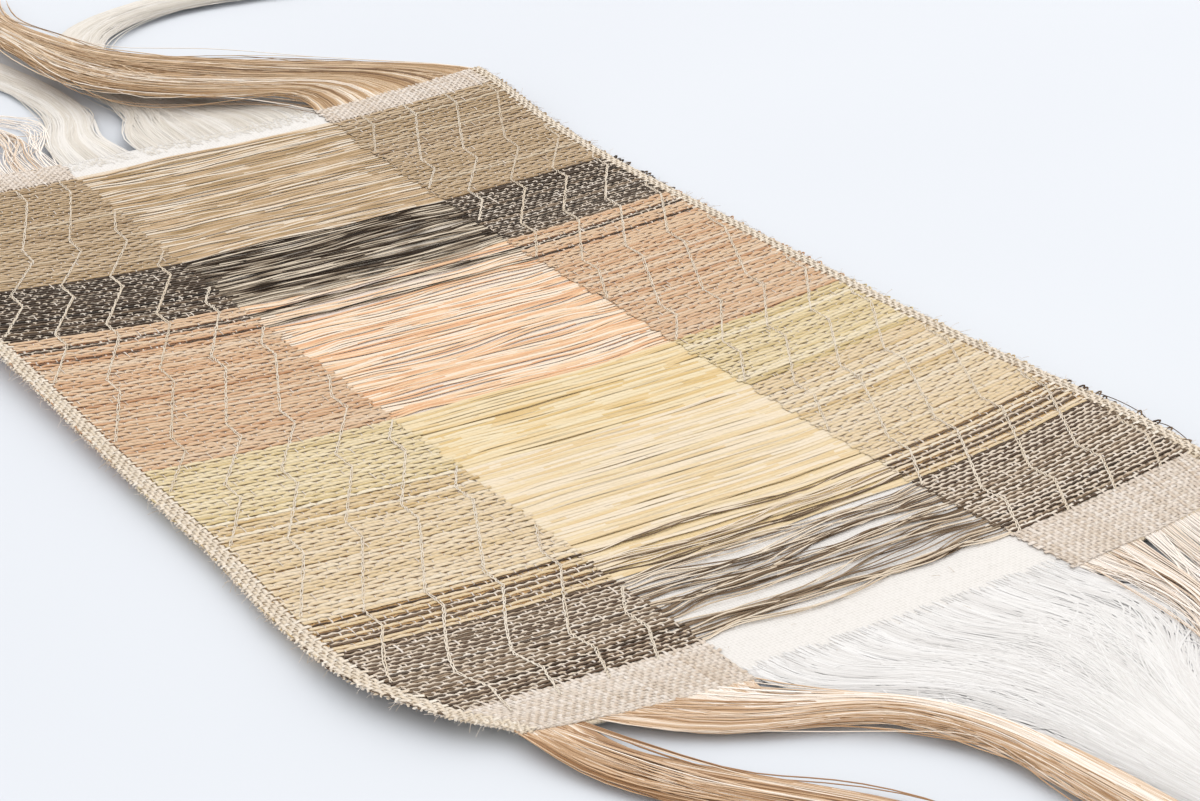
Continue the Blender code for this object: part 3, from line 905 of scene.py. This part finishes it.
def figure_line(chance, start_x, low_x, high_x, twin):
    """The path of one line, cut off where it leaves its panel, or None if it never enters."""
    knots = np.stack([STEPS + STEP_HALF, STEPS - STEP_HALF], 1).ravel()
    columns = np.repeat(start_x - COLUMN_GAP * np.arange(len(STEPS)), 2)
    along = np.linspace(FAR_HEADING, NEAR_HEADING, FINE_PLACES)
    x = np.interp(-along, -knots, columns)
    inside = along[(x > low_x) & (x < high_x)]
    if len(inside) < FEWEST_INSIDE:
        return None
    along = np.linspace(inside[0], inside[-1], LINE_POINTS)
    x = np.interp(-along, -knots, columns) + twin + 0.16 * chance.standard_normal(LINE_POINTS)
    across = np.where(
        x < 0,
        mix(-1.0, LEFT_LINE, (x - LEFT_X) / LEFT_WIDTH),
        mix(RIGHT_LINE, 1.0, (x - WHITE_RIGHT_X) / RIGHT_WIDTH),
    )
    along = along - LINE_LEAN * np.clip(WHITE_LEFT_X - x, 0, None)
    dips = LINE_DIP * np.cos(math.tau * (along - band_picks[0]) / PICK_PITCH)
    return on_cloth(across, along, LINE_HEIGHT + dips)


chance = np.random.default_rng(31)
lines = [
    figure_line(chance, first_x + number * COLUMN_GAP, low_x, high_x, twin)
    for first_x, low_x, high_x in FIGURES
    for number in range(LINES_PER_PANEL)
    for twin in TWINS
]
lines = np.array([line for line in lines if line is not None])
nearest = abs(lines[..., 1:2] - picks).argmin(-1)
radius = LINE_RADIUS * np.where(is_dark[nearest], 1.0, 0.8)
group = Strands(lines, radius, 0.9, chance.uniform(0.3, 0.9, len(lines)))
woven_pieces.append(make_strands("figure_lines", [group], cotton_line))

# %% [markdown]
# A selvedge is the firm edge where the weft turns back. Here a few thicker pale cords carry it,
# four on the left and three on the right. A cream wrap at each pick goes over and under them and
# turns round the last cord, so that the edge looks plaited.

# %% Selvedges
CORD_RADIUS, WRAP_RADIUS = 0.64, 0.6
CORD_MIDDLE, CORD_SWING = 1.2, 0.3
CORD_WANDER = (4.0, 3.0, 0.18)
# Where a wrap turns round the last cord: two places outside it, and how low it goes there.
TURN_PLACES, TURN_LOW, TURN_SWING = (-0.35, -0.2), -1.6, -0.4


def selvedge(chance, name, side, width, offsets):
    """Thick cords along one edge, wrapped by cream picks that turn round the last cord."""
    scale = ((LEFT_LINE + 1) / LEFT_WIDTH) if side < 0 else ((1 - RIGHT_LINE) / RIGHT_WIDTH)
    cords = np.array(offsets)
    number = np.arange(len(cords))[:, None]
    along = picks[None, :]
    swing = np.where((number + np.arange(len(picks))) % 2, 1, -1)
    across = cords[:, None] + wander(chance, number * 9.0, along, *CORD_WANDER)
    across = side * (1 - across * scale)
    cord_paths = on_cloth(across, along, CORD_MIDDLE + CORD_SWING * swing)
    cord_tint = chance.uniform(0.35, 0.85, len(cords))
    places = np.concatenate([TURN_PLACES, cords, [width + 0.8]])
    wraps = picks[:, None] + 0.3 * chance.standard_normal((len(picks), len(places)))
    low = np.full((1, len(picks)), TURN_LOW)
    wrap_swing = np.concatenate([low, TURN_SWING * swing[:1], -swing, -swing[-1:]]).T
    wrap_paths = on_cloth(
        side * (1 - places[None, :] * scale), wraps, CORD_MIDDLE + CORD_SWING * wrap_swing
    )
    wrap_tint = draw_tints(chance, 0.6, 0.22, len(picks))
    groups = [
        Strands(cord_paths, CORD_RADIUS * chance.normal(1, 0.1, swing.shape), 0.8, cord_tint),
        Strands(wrap_paths, WRAP_RADIUS * chance.normal(1, 0.15, wraps.shape), 0.6, wrap_tint),
    ]
    return make_strands(name, groups, cotton_cord)


chance = np.random.default_rng(41)
woven_pieces.append(selvedge(chance, "left_selvedge", -1, SELVEDGE_LEFT, (0.6, 1.9, 3.2, 4.5)))
woven_pieces.append(selvedge(chance, "right_selvedge", 1, SELVEDGE_RIGHT, (0.5, 1.7, 2.9)))

# %% [markdown]
# Outside the cords the coloured weft shows as it turns back. It stands out as small loops, about
# one at every second pick: tight on the left, slack on the right, and slackest in the dark
# colours. One thread on the near right hangs quite free, and its few points are in a table.

# %% Weft loops at the selvedges
LOOP_POINTS = 7
# In the light and the dark colours: how far the right loops stand out, and their radius.
LIGHT_LOOP, DARK_LOOP = (1.3, 0.28), (2.8, 0.32)
LEFT_SLACK = 1.0
RIGHT_SCALE = (1 - RIGHT_LINE) / RIGHT_WIDTH
LOOP_SHARES = {1: 0.5, -1: 0.6}


def edge_loops(chance, side, chosen, slack):
    """Small loops of weft outside a selvedge, each from one pick to the next."""
    turn = np.linspace(-math.pi / 2, math.pi / 2, LOOP_POINTS)[None, :]
    out = chance.uniform(0.5, 1.0, (len(chosen), 1)) * slack
    lean = chance.normal(0, 0.6, (len(chosen), 1)) * np.cos(turn)
    along = picks[chosen][:, None] + PICK_PITCH / 2 * (1 + np.sin(turn)) + lean
    rise = 1.0 + chance.uniform(-0.4, 1.0, (len(chosen), 1)) * np.cos(turn)
    return on_cloth(side * (1 + (out * np.cos(turn) - 0.5) * RIGHT_SCALE), along, rise)


# One slack thread outside the edge: how far out it lies, along, and how high.
SLACK_THREAD = (
    (-0.6, -160.0, 1.0), (0.8, -164.0, 1.6), (1.8, -172.0, 1.4), (1.6, -180.0, 1.2),
    (0.5, -185.0, 1.0), (1.8, -191.0, 1.3), (1.2, -198.0, 1.0), (-0.6, -203.0, 0.8),
)
SLACK_RADIUS, SLACK_POINTS = 0.16, 40

chance = np.random.default_rng(43)
for colour in WOOL_SHADES:
    chosen = np.flatnonzero(pick_colours == colour)
    slack, radius = DARK_LOOP if colour in DARK else LIGHT_LOOP
    groups = []
    for side, share in LOOP_SHARES.items():
        some = chosen[chance.random(len(chosen)) < share]
        paths = edge_loops(chance, side, some, slack if side > 0 else LEFT_SLACK)
        groups.append(Strands(paths, radius, 1.0, chance.uniform(0.1, 0.8, len(some))))
    if colour == "grey_brown":
        out, along, rise = np.array(SLACK_THREAD).T
        thread = on_cloth(1 + out * RIGHT_SCALE, along, rise)
        thread = smooth_rows(thread, np.linspace(0, len(thread) - 1, SLACK_POINTS))
        groups.append(Strands(thread[None], SLACK_RADIUS, 1.0, 0.4))
    woven_pieces.append(make_strands(f"edge_loops_{colour}", groups, wool[colour]))

# %% [markdown]
# Past each heading the warp runs on as fringe, drawn together into hanks that curve over the
# table. Each hank is a table of sections: the two ends of a line across it, its lowest height and
# its thickness. The solids use nearly the same tables, so these finer strands fill the same
# forms. Start and stop say which part of the cloth's width the hank comes from, and shade how
# pale it is.

# %% The hanks' tables
HankSection = namedtuple("HankSection", "left_x left_y right_x right_y rise height")
Hank = namedtuple("Hank", "start stop strands material shade sections")
NEAR_HANKS = {
    "near_left_fringe": [
        Hank(-1.0, -0.84, 150, "linen", 0.27, (
            (-114, -237, -99, -236, 1.5, 3.5), (-106, -254, -90, -248, 0, 4.5),
            (-94, -272, -79, -263, 0, 5.5), (-80, -290, -66, -279, 0, 5.5),
            (-66, -308, -52, -299, 0, 5.5), (-53, -331, -39, -325, 0, 5.0),
            (-45, -358, -31, -355, 0, 5.0), (-42, -386, -28, -385, 0, 4.5),
            (-45, -412, -31, -412, 0, 4.0),
        )),
        Hank(-0.82, LEFT_LINE, 260, "linen", 0.56, (
            (-79, -244, -53, -237, 1, 3.0), (-57, -254, -45, -241, 0, 5.0),
            (-38, -262, -30, -251, 0, 6.5), (-27, -274, -16, -266, 0, 7.0),
            (-20, -290, -7, -286, 0, 7.0), (-17, -309, -3, -307, 0, 6.5),
            (-14, -336, 1, -334, 0, 6.0), (-11, -363, 6, -361, 0, 5.0),
            (-6, -391, 12, -389, 0, 4.0),
        )),
    ],
    "near_centre_fringe": [
        Hank(LEFT_LINE, RIGHT_LINE, 620, "white", 0.6, (
            (-45, -237, 67, -239, 0.2, 1.8), (-28, -247, 70, -251, 0, 2.0),
            (-13, -261, 66, -266, 0, 2.5), (-4, -281, 56, -283, 0, 3.0),
            (0, -303, 45, -304, 0, 3.4), (4, -330, 39, -330, 0, 3.4),
            (9, -358, 40, -358, 0, 3.0), (15, -386, 45, -384, 0, 3.0),
            (22, -410, 52, -407, 0, 2.5),
        )),
    ],
    "near_right_fringe": [
        Hank(RIGHT_LINE, 0.64, 150, "linen", 0.95, (
            (70, -240, 86, -238, 0.8, 2.0), (73, -252, 85, -254, 0, 3.0),
            (69, -268, 79, -272, 0, 4.0), (59, -285, 69, -291, 0, 4.0),
            (48, -306, 58, -309, 0, 4.0), (42, -331, 54, -333, 0, 3.6),
            (43, -358, 56, -359, 0, 3.2), (48, -384, 62, -384, 0, 3.0),
            (55, -406, 70, -405, 0, 2.5),
        )),
        Hank(0.66, 1.0, 240, "linen", 1.1, (
            (86, -237, 133, -232, 1.6, 1.8), (86, -252, 136, -247, 0, 1.8),
            (83, -270, 138, -265, 0, 1.8), (82, -290, 139, -284, 0, 1.8),
            (82, -312, 139, -305, 0, 1.8), (80, -336, 138, -328, 0, 1.8),
            (80, -360, 137, -352, 0, 1.8), (82, -382, 137, -374, 0, 1.8),
            (86, -400, 139, -393, 0, 1.8),
        )),
    ],
}
FAR_HANKS = {
    "far_left_fringe": [
        Hank(-1.0, LEFT_LINE, 190, "linen", 0.88, (
            (-118, 225, -47, 223, 5, 1.8), (-105, 244, -41, 242, 2, 2.0),
            (-95, 266, -35, 263, 0, 2.2), (-99, 291, -47, 287, 0, 2.6),
            (-117, 311, -71, 314, 0, 3.0), (-144, 325, -104, 338, 0, 3.0),
            (-172, 335, -140, 355, 0, 3.0), (-200, 342, -176, 365, 0, 2.6),
        )),
    ],
    # The white ends of the middle panel at the far end use the white finish painted darker: painted
    # shade.
    "far_centre_fringe": [
        Hank(LEFT_LINE, -0.15, 120, "white_in_shade", 0.7, (
            (-44, 223, -20, 223, 4, 2.0), (-37, 242, -18, 241, 1.5, 2.2),
            (-27, 262, -9, 264, 0, 2.6), (-25, 290, -7, 292, 0, 2.6),
            (-30, 320, -11, 324, 0, 2.6), (-38, 350, -18, 358, 0, 2.6),
            (-48, 382, -28, 392, 0, 2.6), (-60, 412, -40, 424, 0, 2.4),
        )),
        Hank(-0.13, RIGHT_LINE, 300, "white_in_shade", 0.5, (
            (-17, 223, 61, 220, 4.6, 2.0), (-7, 239, 45, 236, 2, 3.0),
            (2, 256, 32, 254, 0, 4.5), (1, 277, 24, 279, 0, 5.0),
            (-2, 304, 20, 304, 0, 5.0), (3, 331, 25, 326, 0, 5.0),
            (20, 360, 36, 343, 0, 5.0), (48, 377, 56, 356, 0, 5.0),
            (84, 384, 84, 362, 0, 5.0), (120, 380, 114, 360, 0, 4.5),
            (150, 370, 142, 352, 0, 4.0),
        )),
    ],
    "far_right_fringe": [
        Hank(RIGHT_LINE, 1.0, 260, "brown", 0.5, (
            (63, 218, 121, 222, 8.4, 2.5), (47, 225, 98, 236, 8.2, 4.0),
            (28, 233, 73, 252, 7.6, 5.5), (9, 245, 51, 271, 7, 7.0),
            (-7, 264, 33, 289, 6.5, 7.5), (-14, 289, 18, 306, 6, 8.0),
            (-15, 315, 8, 328, 6, 8.0), (-14, 341, 4, 351, 5, 8.0),
            (-11, 369, 5, 375, 2.5, 7.5), (-6, 397, 11, 400, 0, 7.0),
            (0, 424, 18, 423, 0, 6.0),
        )),
    ],
}
all_hanks = [hank for hanks in (NEAR_HANKS, FAR_HANKS) for group in hanks.values() for hank in group]
print("Hanks:", len(all_hanks), "- strands of fringe:", sum(hank.strands for hank in all_hanks))

# %% [markdown]
# Every strand keeps its own place in its hank, drifts from it slowly, and ends at its own length.
# The places are shared out evenly and then jittered, which leaves no bare gaps. Neighbours drift
# together as locks of nine, a few strays go their own way, and a few linen strands come in from
# above a little later. The white strands root at scattered depths in the heading, so that no hard
# line shows there. A full hank holds thousands of real strands. These few hundred would leave
# holes, so a soft closed body fills its inside. The palest hanks lie open on the table and have
# none.

# %% The fringe strands
FRINGE_POINTS = 22
HANK_LENGTH = 200.0
LOCK_STRANDS = 9.0
STRAY_SHARE, STRAY_REACH = 0.08, 3.5
JOINS_FROM, JOINS_TO = 0.1, 0.3
LOOSE_FROM, LOOSENESS = 0.25, 0.09
# How strongly the strands drift, over what length, and if a lock drifts as one.
DRIFTS = ((0.9, 45.0, False), (0.4, 18.0, False), (1.3, 32.0, True))
MIDDLE_LEVEL, ARCH_LEVEL = 0.4, 0.38
ROOT_DEPTH, ROOT_LEVEL, CREST_OUT = 4.0, 1.15, 2.5
OPEN_FROM, OPEN_LOWEST = 0.8, -1.0
STRAND_LOWEST, BODY_LOWEST = 0.3, 0.1
SMOOTHINGS = 3
# After a yarn's radius and flatness: the share that joins late, the lowest level in a full hank,
# the depths of the roots in the heading, how far the strands stand proud, how high they cross the
# heading's edge, and for the body how full it is, how far it swells and how much darker it is
# painted than its strands, as painted shade inside the hank.
FringeLook = namedtuple(
    "FringeLook", "finish radius flat late lowest roots proud crest full swell deeper"
)
linen_look = FringeLook(linen_fringe, 0.25, 0.6, 0.16, 0.75, None, 0.3, 0.8, 0.84, 0.37, 0.2)
white_look = FringeLook(
    white_fringe, 0.26, 0.18, 0.0, 0.9, (1.0, 9.0), 0.12, 0.6, 0.93, 0.42, 0.0
)
FRINGE_LOOKS = {
    "linen": linen_look,
    "brown": linen_look._replace(finish=brown_fringe),
    "white": white_look,
    "white_in_shade": white_look._replace(finish=shaded_white_fringe),
}


def in_hank(section, share, level, proud, lowest):
    """Points at a share across a hank's sections and a share of their thickness up."""
    x = mix(section.left_x, section.right_x, share)
    y = mix(section.left_y, section.right_y, share)
    z = np.maximum(section.rise, 0) + section.height * level + proud
    return np.stack([x, y, np.maximum(z, lowest)], -1)


def hank_strands(chance, hank, look, end, out, lowest):
    """The strands of one hank, from inside the heading to their tips."""
    rows = np.array(hank.sections, float)
    count = hank.strands
    share = ((np.arange(count) + chance.random(count)) / count)[:, None]
    level = chance.uniform(lowest, 1.0, (count, 1))
    stray = np.where(chance.random((count, 1)) < STRAY_SHARE, STRAY_REACH, 1.0)
    longest = 1 - 0.1 * chance.random((count, 1)) ** 2
    is_late = chance.random((count, 1)) < look.late
    joins = np.where(is_late, chance.uniform(JOINS_FROM, JOINS_TO, (count, 1)), 0.0)
    travel = mix(joins, longest, np.linspace(0, 1, FRINGE_POINTS)[None, :])
    section = HankSection(*np.moveaxis(smooth_rows(rows, travel * (len(rows) - 1)), -1, 0))
    number = np.arange(count)[:, None]
    drift = 0.0
    for reach, cell, as_lock in DRIFTS:
        row = number / LOCK_STRANDS if as_lock else number * 3.0
        drift = drift + wander(chance, travel * HANK_LENGTH, row, cell, 1.0, reach)
    loose = LOOSENESS * stray * np.clip(travel / LOOSE_FROM, 0, 1)
    spread = np.clip(share + loose * drift, -0.3, 1.3)
    arch = np.sqrt(np.clip(1 - (2 * spread - 1) ** 2, 0, 1))
    height = MIDDLE_LEVEL + ARCH_LEVEL * arch * level
    inside = in_hank(section, spread, height, look.proud * level, STRAND_LOWEST)
    places = mix(hank.start, hank.stop, share)
    depth = chance.uniform(*look.roots, (count, 1)) if look.roots else ROOT_DEPTH
    roots = [
        on_cloth(places, end - depth * out, ROOT_LEVEL),
        on_cloth(places, end, look.crest * (1 + level)) + np.array((0.0, out * CREST_OUT, 0.0)),
    ]
    paths = np.concatenate([*roots, inside], axis=1)
    for _ in range(SMOOTHINGS):
        paths[:, 1:-1] = (paths[:, :-2] + 2 * paths[:, 1:-1] + paths[:, 2:]) / 4
    return paths


BODY_STATIONS, BODY_SIDES = 40, 24
BODY_END, BODY_CLOSES, BODY_CLOSED = 0.95, 0.12, 0.1
BODY_WIDTH = 0.49
BODY_LUMPS = (22.0, 1.0, 0.1)


def hank_body(chance, hank, look, end, out):
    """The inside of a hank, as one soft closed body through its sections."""
    rows = np.array(hank.sections, float)
    travel = np.linspace(0, BODY_END, BODY_STATIONS)
    section = HankSection(*smooth_rows(rows, travel * (len(rows) - 1)).T[..., None])
    angle = np.linspace(0, math.tau, BODY_SIDES, endpoint=False)[None, :]
    lumps = wander(chance, travel[:, None] * HANK_LENGTH, 0 * angle, *BODY_LUMPS)
    closing = np.clip((BODY_END + 0.02 - travel) / BODY_CLOSES, BODY_CLOSED, 1)[:, None]
    closing = closing * (look.full + lumps)
    share = 0.5 + BODY_WIDTH * out * np.cos(angle) * closing
    level = MIDDLE_LEVEL + look.swell * np.sin(angle) * closing
    root_places = mix(hank.start, hank.stop, 0.5 + BODY_WIDTH * out * np.cos(angle))
    root = on_cloth(root_places, end - ROOT_DEPTH * out, ROOT_LEVEL - 0.5 + 0.5 * np.sin(angle))
    rings = np.concatenate([root, in_hank(section, share, level, 0.0, BODY_LOWEST)])
    for _ in range(SMOOTHINGS):
        rings[1:-1] = (rings[:-2] + 2 * rings[1:-1] + rings[2:]) / 4
    width = np.hypot(section.right_x - section.left_x, section.right_y - section.left_y).mean()
    # The body's tint is darker than its hank's: painted shade for the inside between the strands.
    return loft_parts(rings, 0.4 * width, hank.shade - look.deeper)


LOCK_TINTS, OWN_TINTS = 0.42, 0.15
TAPER = np.ones((1, FRINGE_POINTS + 2))
TAPER[:, -2:] = 0.7, 0.3
chance = np.random.default_rng(51)
fringe_pieces = {}
for hanks, end, out in ((NEAR_HANKS, NEAR_END, -1), (FAR_HANKS, FAR_END, 1)):
    for name, group in hanks.items():
        strands, bodies = [], []
        for hank in group:
            look = FRINGE_LOOKS[hank.material]
            is_open = hank.shade >= OPEN_FROM
            lowest = OPEN_LOWEST if is_open else look.lowest
            paths = hank_strands(chance, hank, look, end, out, lowest)
            locks = np.arange(hank.strands) / LOCK_STRANDS
            tint = hank.shade + wander(chance, locks, 0 * locks, 1.0, 1.0, LOCK_TINTS)
            tint = np.clip(tint + chance.normal(0, OWN_TINTS, hank.strands), 0, 1)
            thick = look.radius * TAPER * chance.normal(1, 0.15, (hank.strands, 1))
            strands.append(Strands(paths, thick, look.flat, tint))
            if not is_open:
                bodies.append(hank_body(chance, hank, look, end, out))
        fringe_pieces[name] = make_strands(f"{name}_strands", strands, look.finish, bodies)

# %% [markdown]
# Spun yarn is never bald. Short fibres stand off it, and along an edge against a pale table they
# are what tells the eye that this is cloth. About a thousand fine hairs are enough: each one
# starts on the cloth, leaves it at a slant and droops a little.

# %% Fuzz
HAIR_POINTS, HAIR_RADIUS, HAIR_LOWEST = 5, 0.06, 0.1
EDGE_HAIRS, EDGE_LONGEST, EDGE_LEVEL = 800, 3.5, 1.2
TOP_HAIRS, TOP_LONGEST, TOP_LEVEL = 260, 2.5, 1.7


def hairs(chance, starts, away, longest):
    """A group of short drooping hairs, each about along its own direction away."""
    length = chance.uniform(0.3, 1.0, (len(starts), 1, 1)) * longest
    t = np.linspace(0, 1, HAIR_POINTS)[None, :, None]
    droop = np.array((0.0, 0.0, -0.5)) * t * t
    curl = chance.normal(0, 0.3, (len(starts), 1, 3)) * t * t
    paths = starts[:, None, :] + length * (away[:, None, :] * t + droop + curl)
    paths[..., 2] = np.maximum(paths[..., 2], HAIR_LOWEST)
    return Strands(paths, HAIR_RADIUS, 1.0, chance.uniform(0, 1, len(starts)))


chance = np.random.default_rng(61)
side = chance.choice([-1.0, 1.0], EDGE_HAIRS)
edge_starts = on_cloth(side, chance.uniform(NEAR_END, FAR_END, EDGE_HAIRS), EDGE_LEVEL)
edge_away = np.stack(
    [side * chance.uniform(0.4, 1, EDGE_HAIRS), chance.normal(0, 0.6, EDGE_HAIRS),
     chance.uniform(0, 0.7, EDGE_HAIRS)], -1,
)
top_starts = on_cloth(
    chance.uniform(-1, 1, TOP_HAIRS), chance.uniform(NEAR_END, FAR_END, TOP_HAIRS), TOP_LEVEL
)
top_away = np.stack(
    [chance.normal(0, 1, TOP_HAIRS), chance.normal(0, 0.5, TOP_HAIRS),
     chance.uniform(0.1, 0.4, TOP_HAIRS)], -1,
)
groups = [
    hairs(chance, edge_starts, edge_away, EDGE_LONGEST),
    hairs(chance, top_starts, top_away, TOP_LONGEST),
]
woven_pieces.append(make_strands("fuzz", groups, linen_warp))

# %% [markdown]
# The floor is a plain pale table top and the light is a big soft window: one large area light
# far off to the right and behind, so that the cloth's left edge has a faint shadow, and an even
# pale world that fills the rest. The view transform is Standard, so a hex colour of a surface in
# full light comes out near that colour.

# %% Table and light
TABLE_HALF, TABLE_TOP = 8.0, -0.05
WORLD_COLOUR, WORLD_STRENGTH = "#FBF7F2", 1.32
WINDOW_PLACE, WINDOW_SIZE = (2.4, 2.0, 2.9), 3.0
WINDOW_COLOUR, WINDOW_WATTS = "#FFFBF4", 27.0

table_finish, tree = new_material("matt_white_laminate")
speckle = add_node(tree, "TexNoise", {"Scale": 40.0, "Detail": 2.0})
tone = add_node(
    tree, "ValToRGB", {0: speckle.outputs["Fac"]}, stops=[(0.3, "#CED5E0"), (0.7, "#D2D9E3")]
)
end_material(tree, Base_Color=tone.outputs[0], Roughness=0.7)
bm = bmesh.new()
bmesh.ops.create_grid(bm, x_segments=4, y_segments=4, size=TABLE_HALF)
table_mesh = bpy.data.meshes.new("table_top")
bm.to_mesh(table_mesh)
bm.free()
table_mesh.materials.append(table_finish)
table_top = add_object("table_top", table_mesh)
table_top.location.z = TABLE_TOP * MM

world = bpy.data.worlds.new("pale_room")
world.use_nodes = True
world.node_tree.nodes["Background"].inputs["Color"].default_value = linear(WORLD_COLOUR)
world.node_tree.nodes["Background"].inputs["Strength"].default_value = WORLD_STRENGTH
bpy.context.scene.world = world
bpy.context.scene.view_settings.view_transform = "Standard"

window_data = bpy.data.lights.new("window", "AREA")
window_data.energy = WINDOW_WATTS
window_data.size = WINDOW_SIZE
window_data.color = linear(WINDOW_COLOUR)[:3]
window = add_object("window", window_data)
window.location = WINDOW_PLACE
window.rotation_euler = (-window.location).to_track_quat("-Z", "Y").to_euler()
print("Window, metres from the cloth:", round(window.location.length, 1))

# %% [markdown]
# Last, every piece is tied to the model: it rides on the body, and the solids that the pieces
# stand for, the cloth and the hanks of fringe, are hidden.

# %% Tie the pieces to the model
for piece in (ground_cloth, *woven_pieces, *float_pieces, *fringe_pieces.values()):
    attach(piece, "root")
for name, piece in fringe_pieces.items():
    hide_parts(name)
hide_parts("cloth")
print("Triangles in all:", sum(TRIANGLES.values()), "- pieces:", len(TRIANGLES))
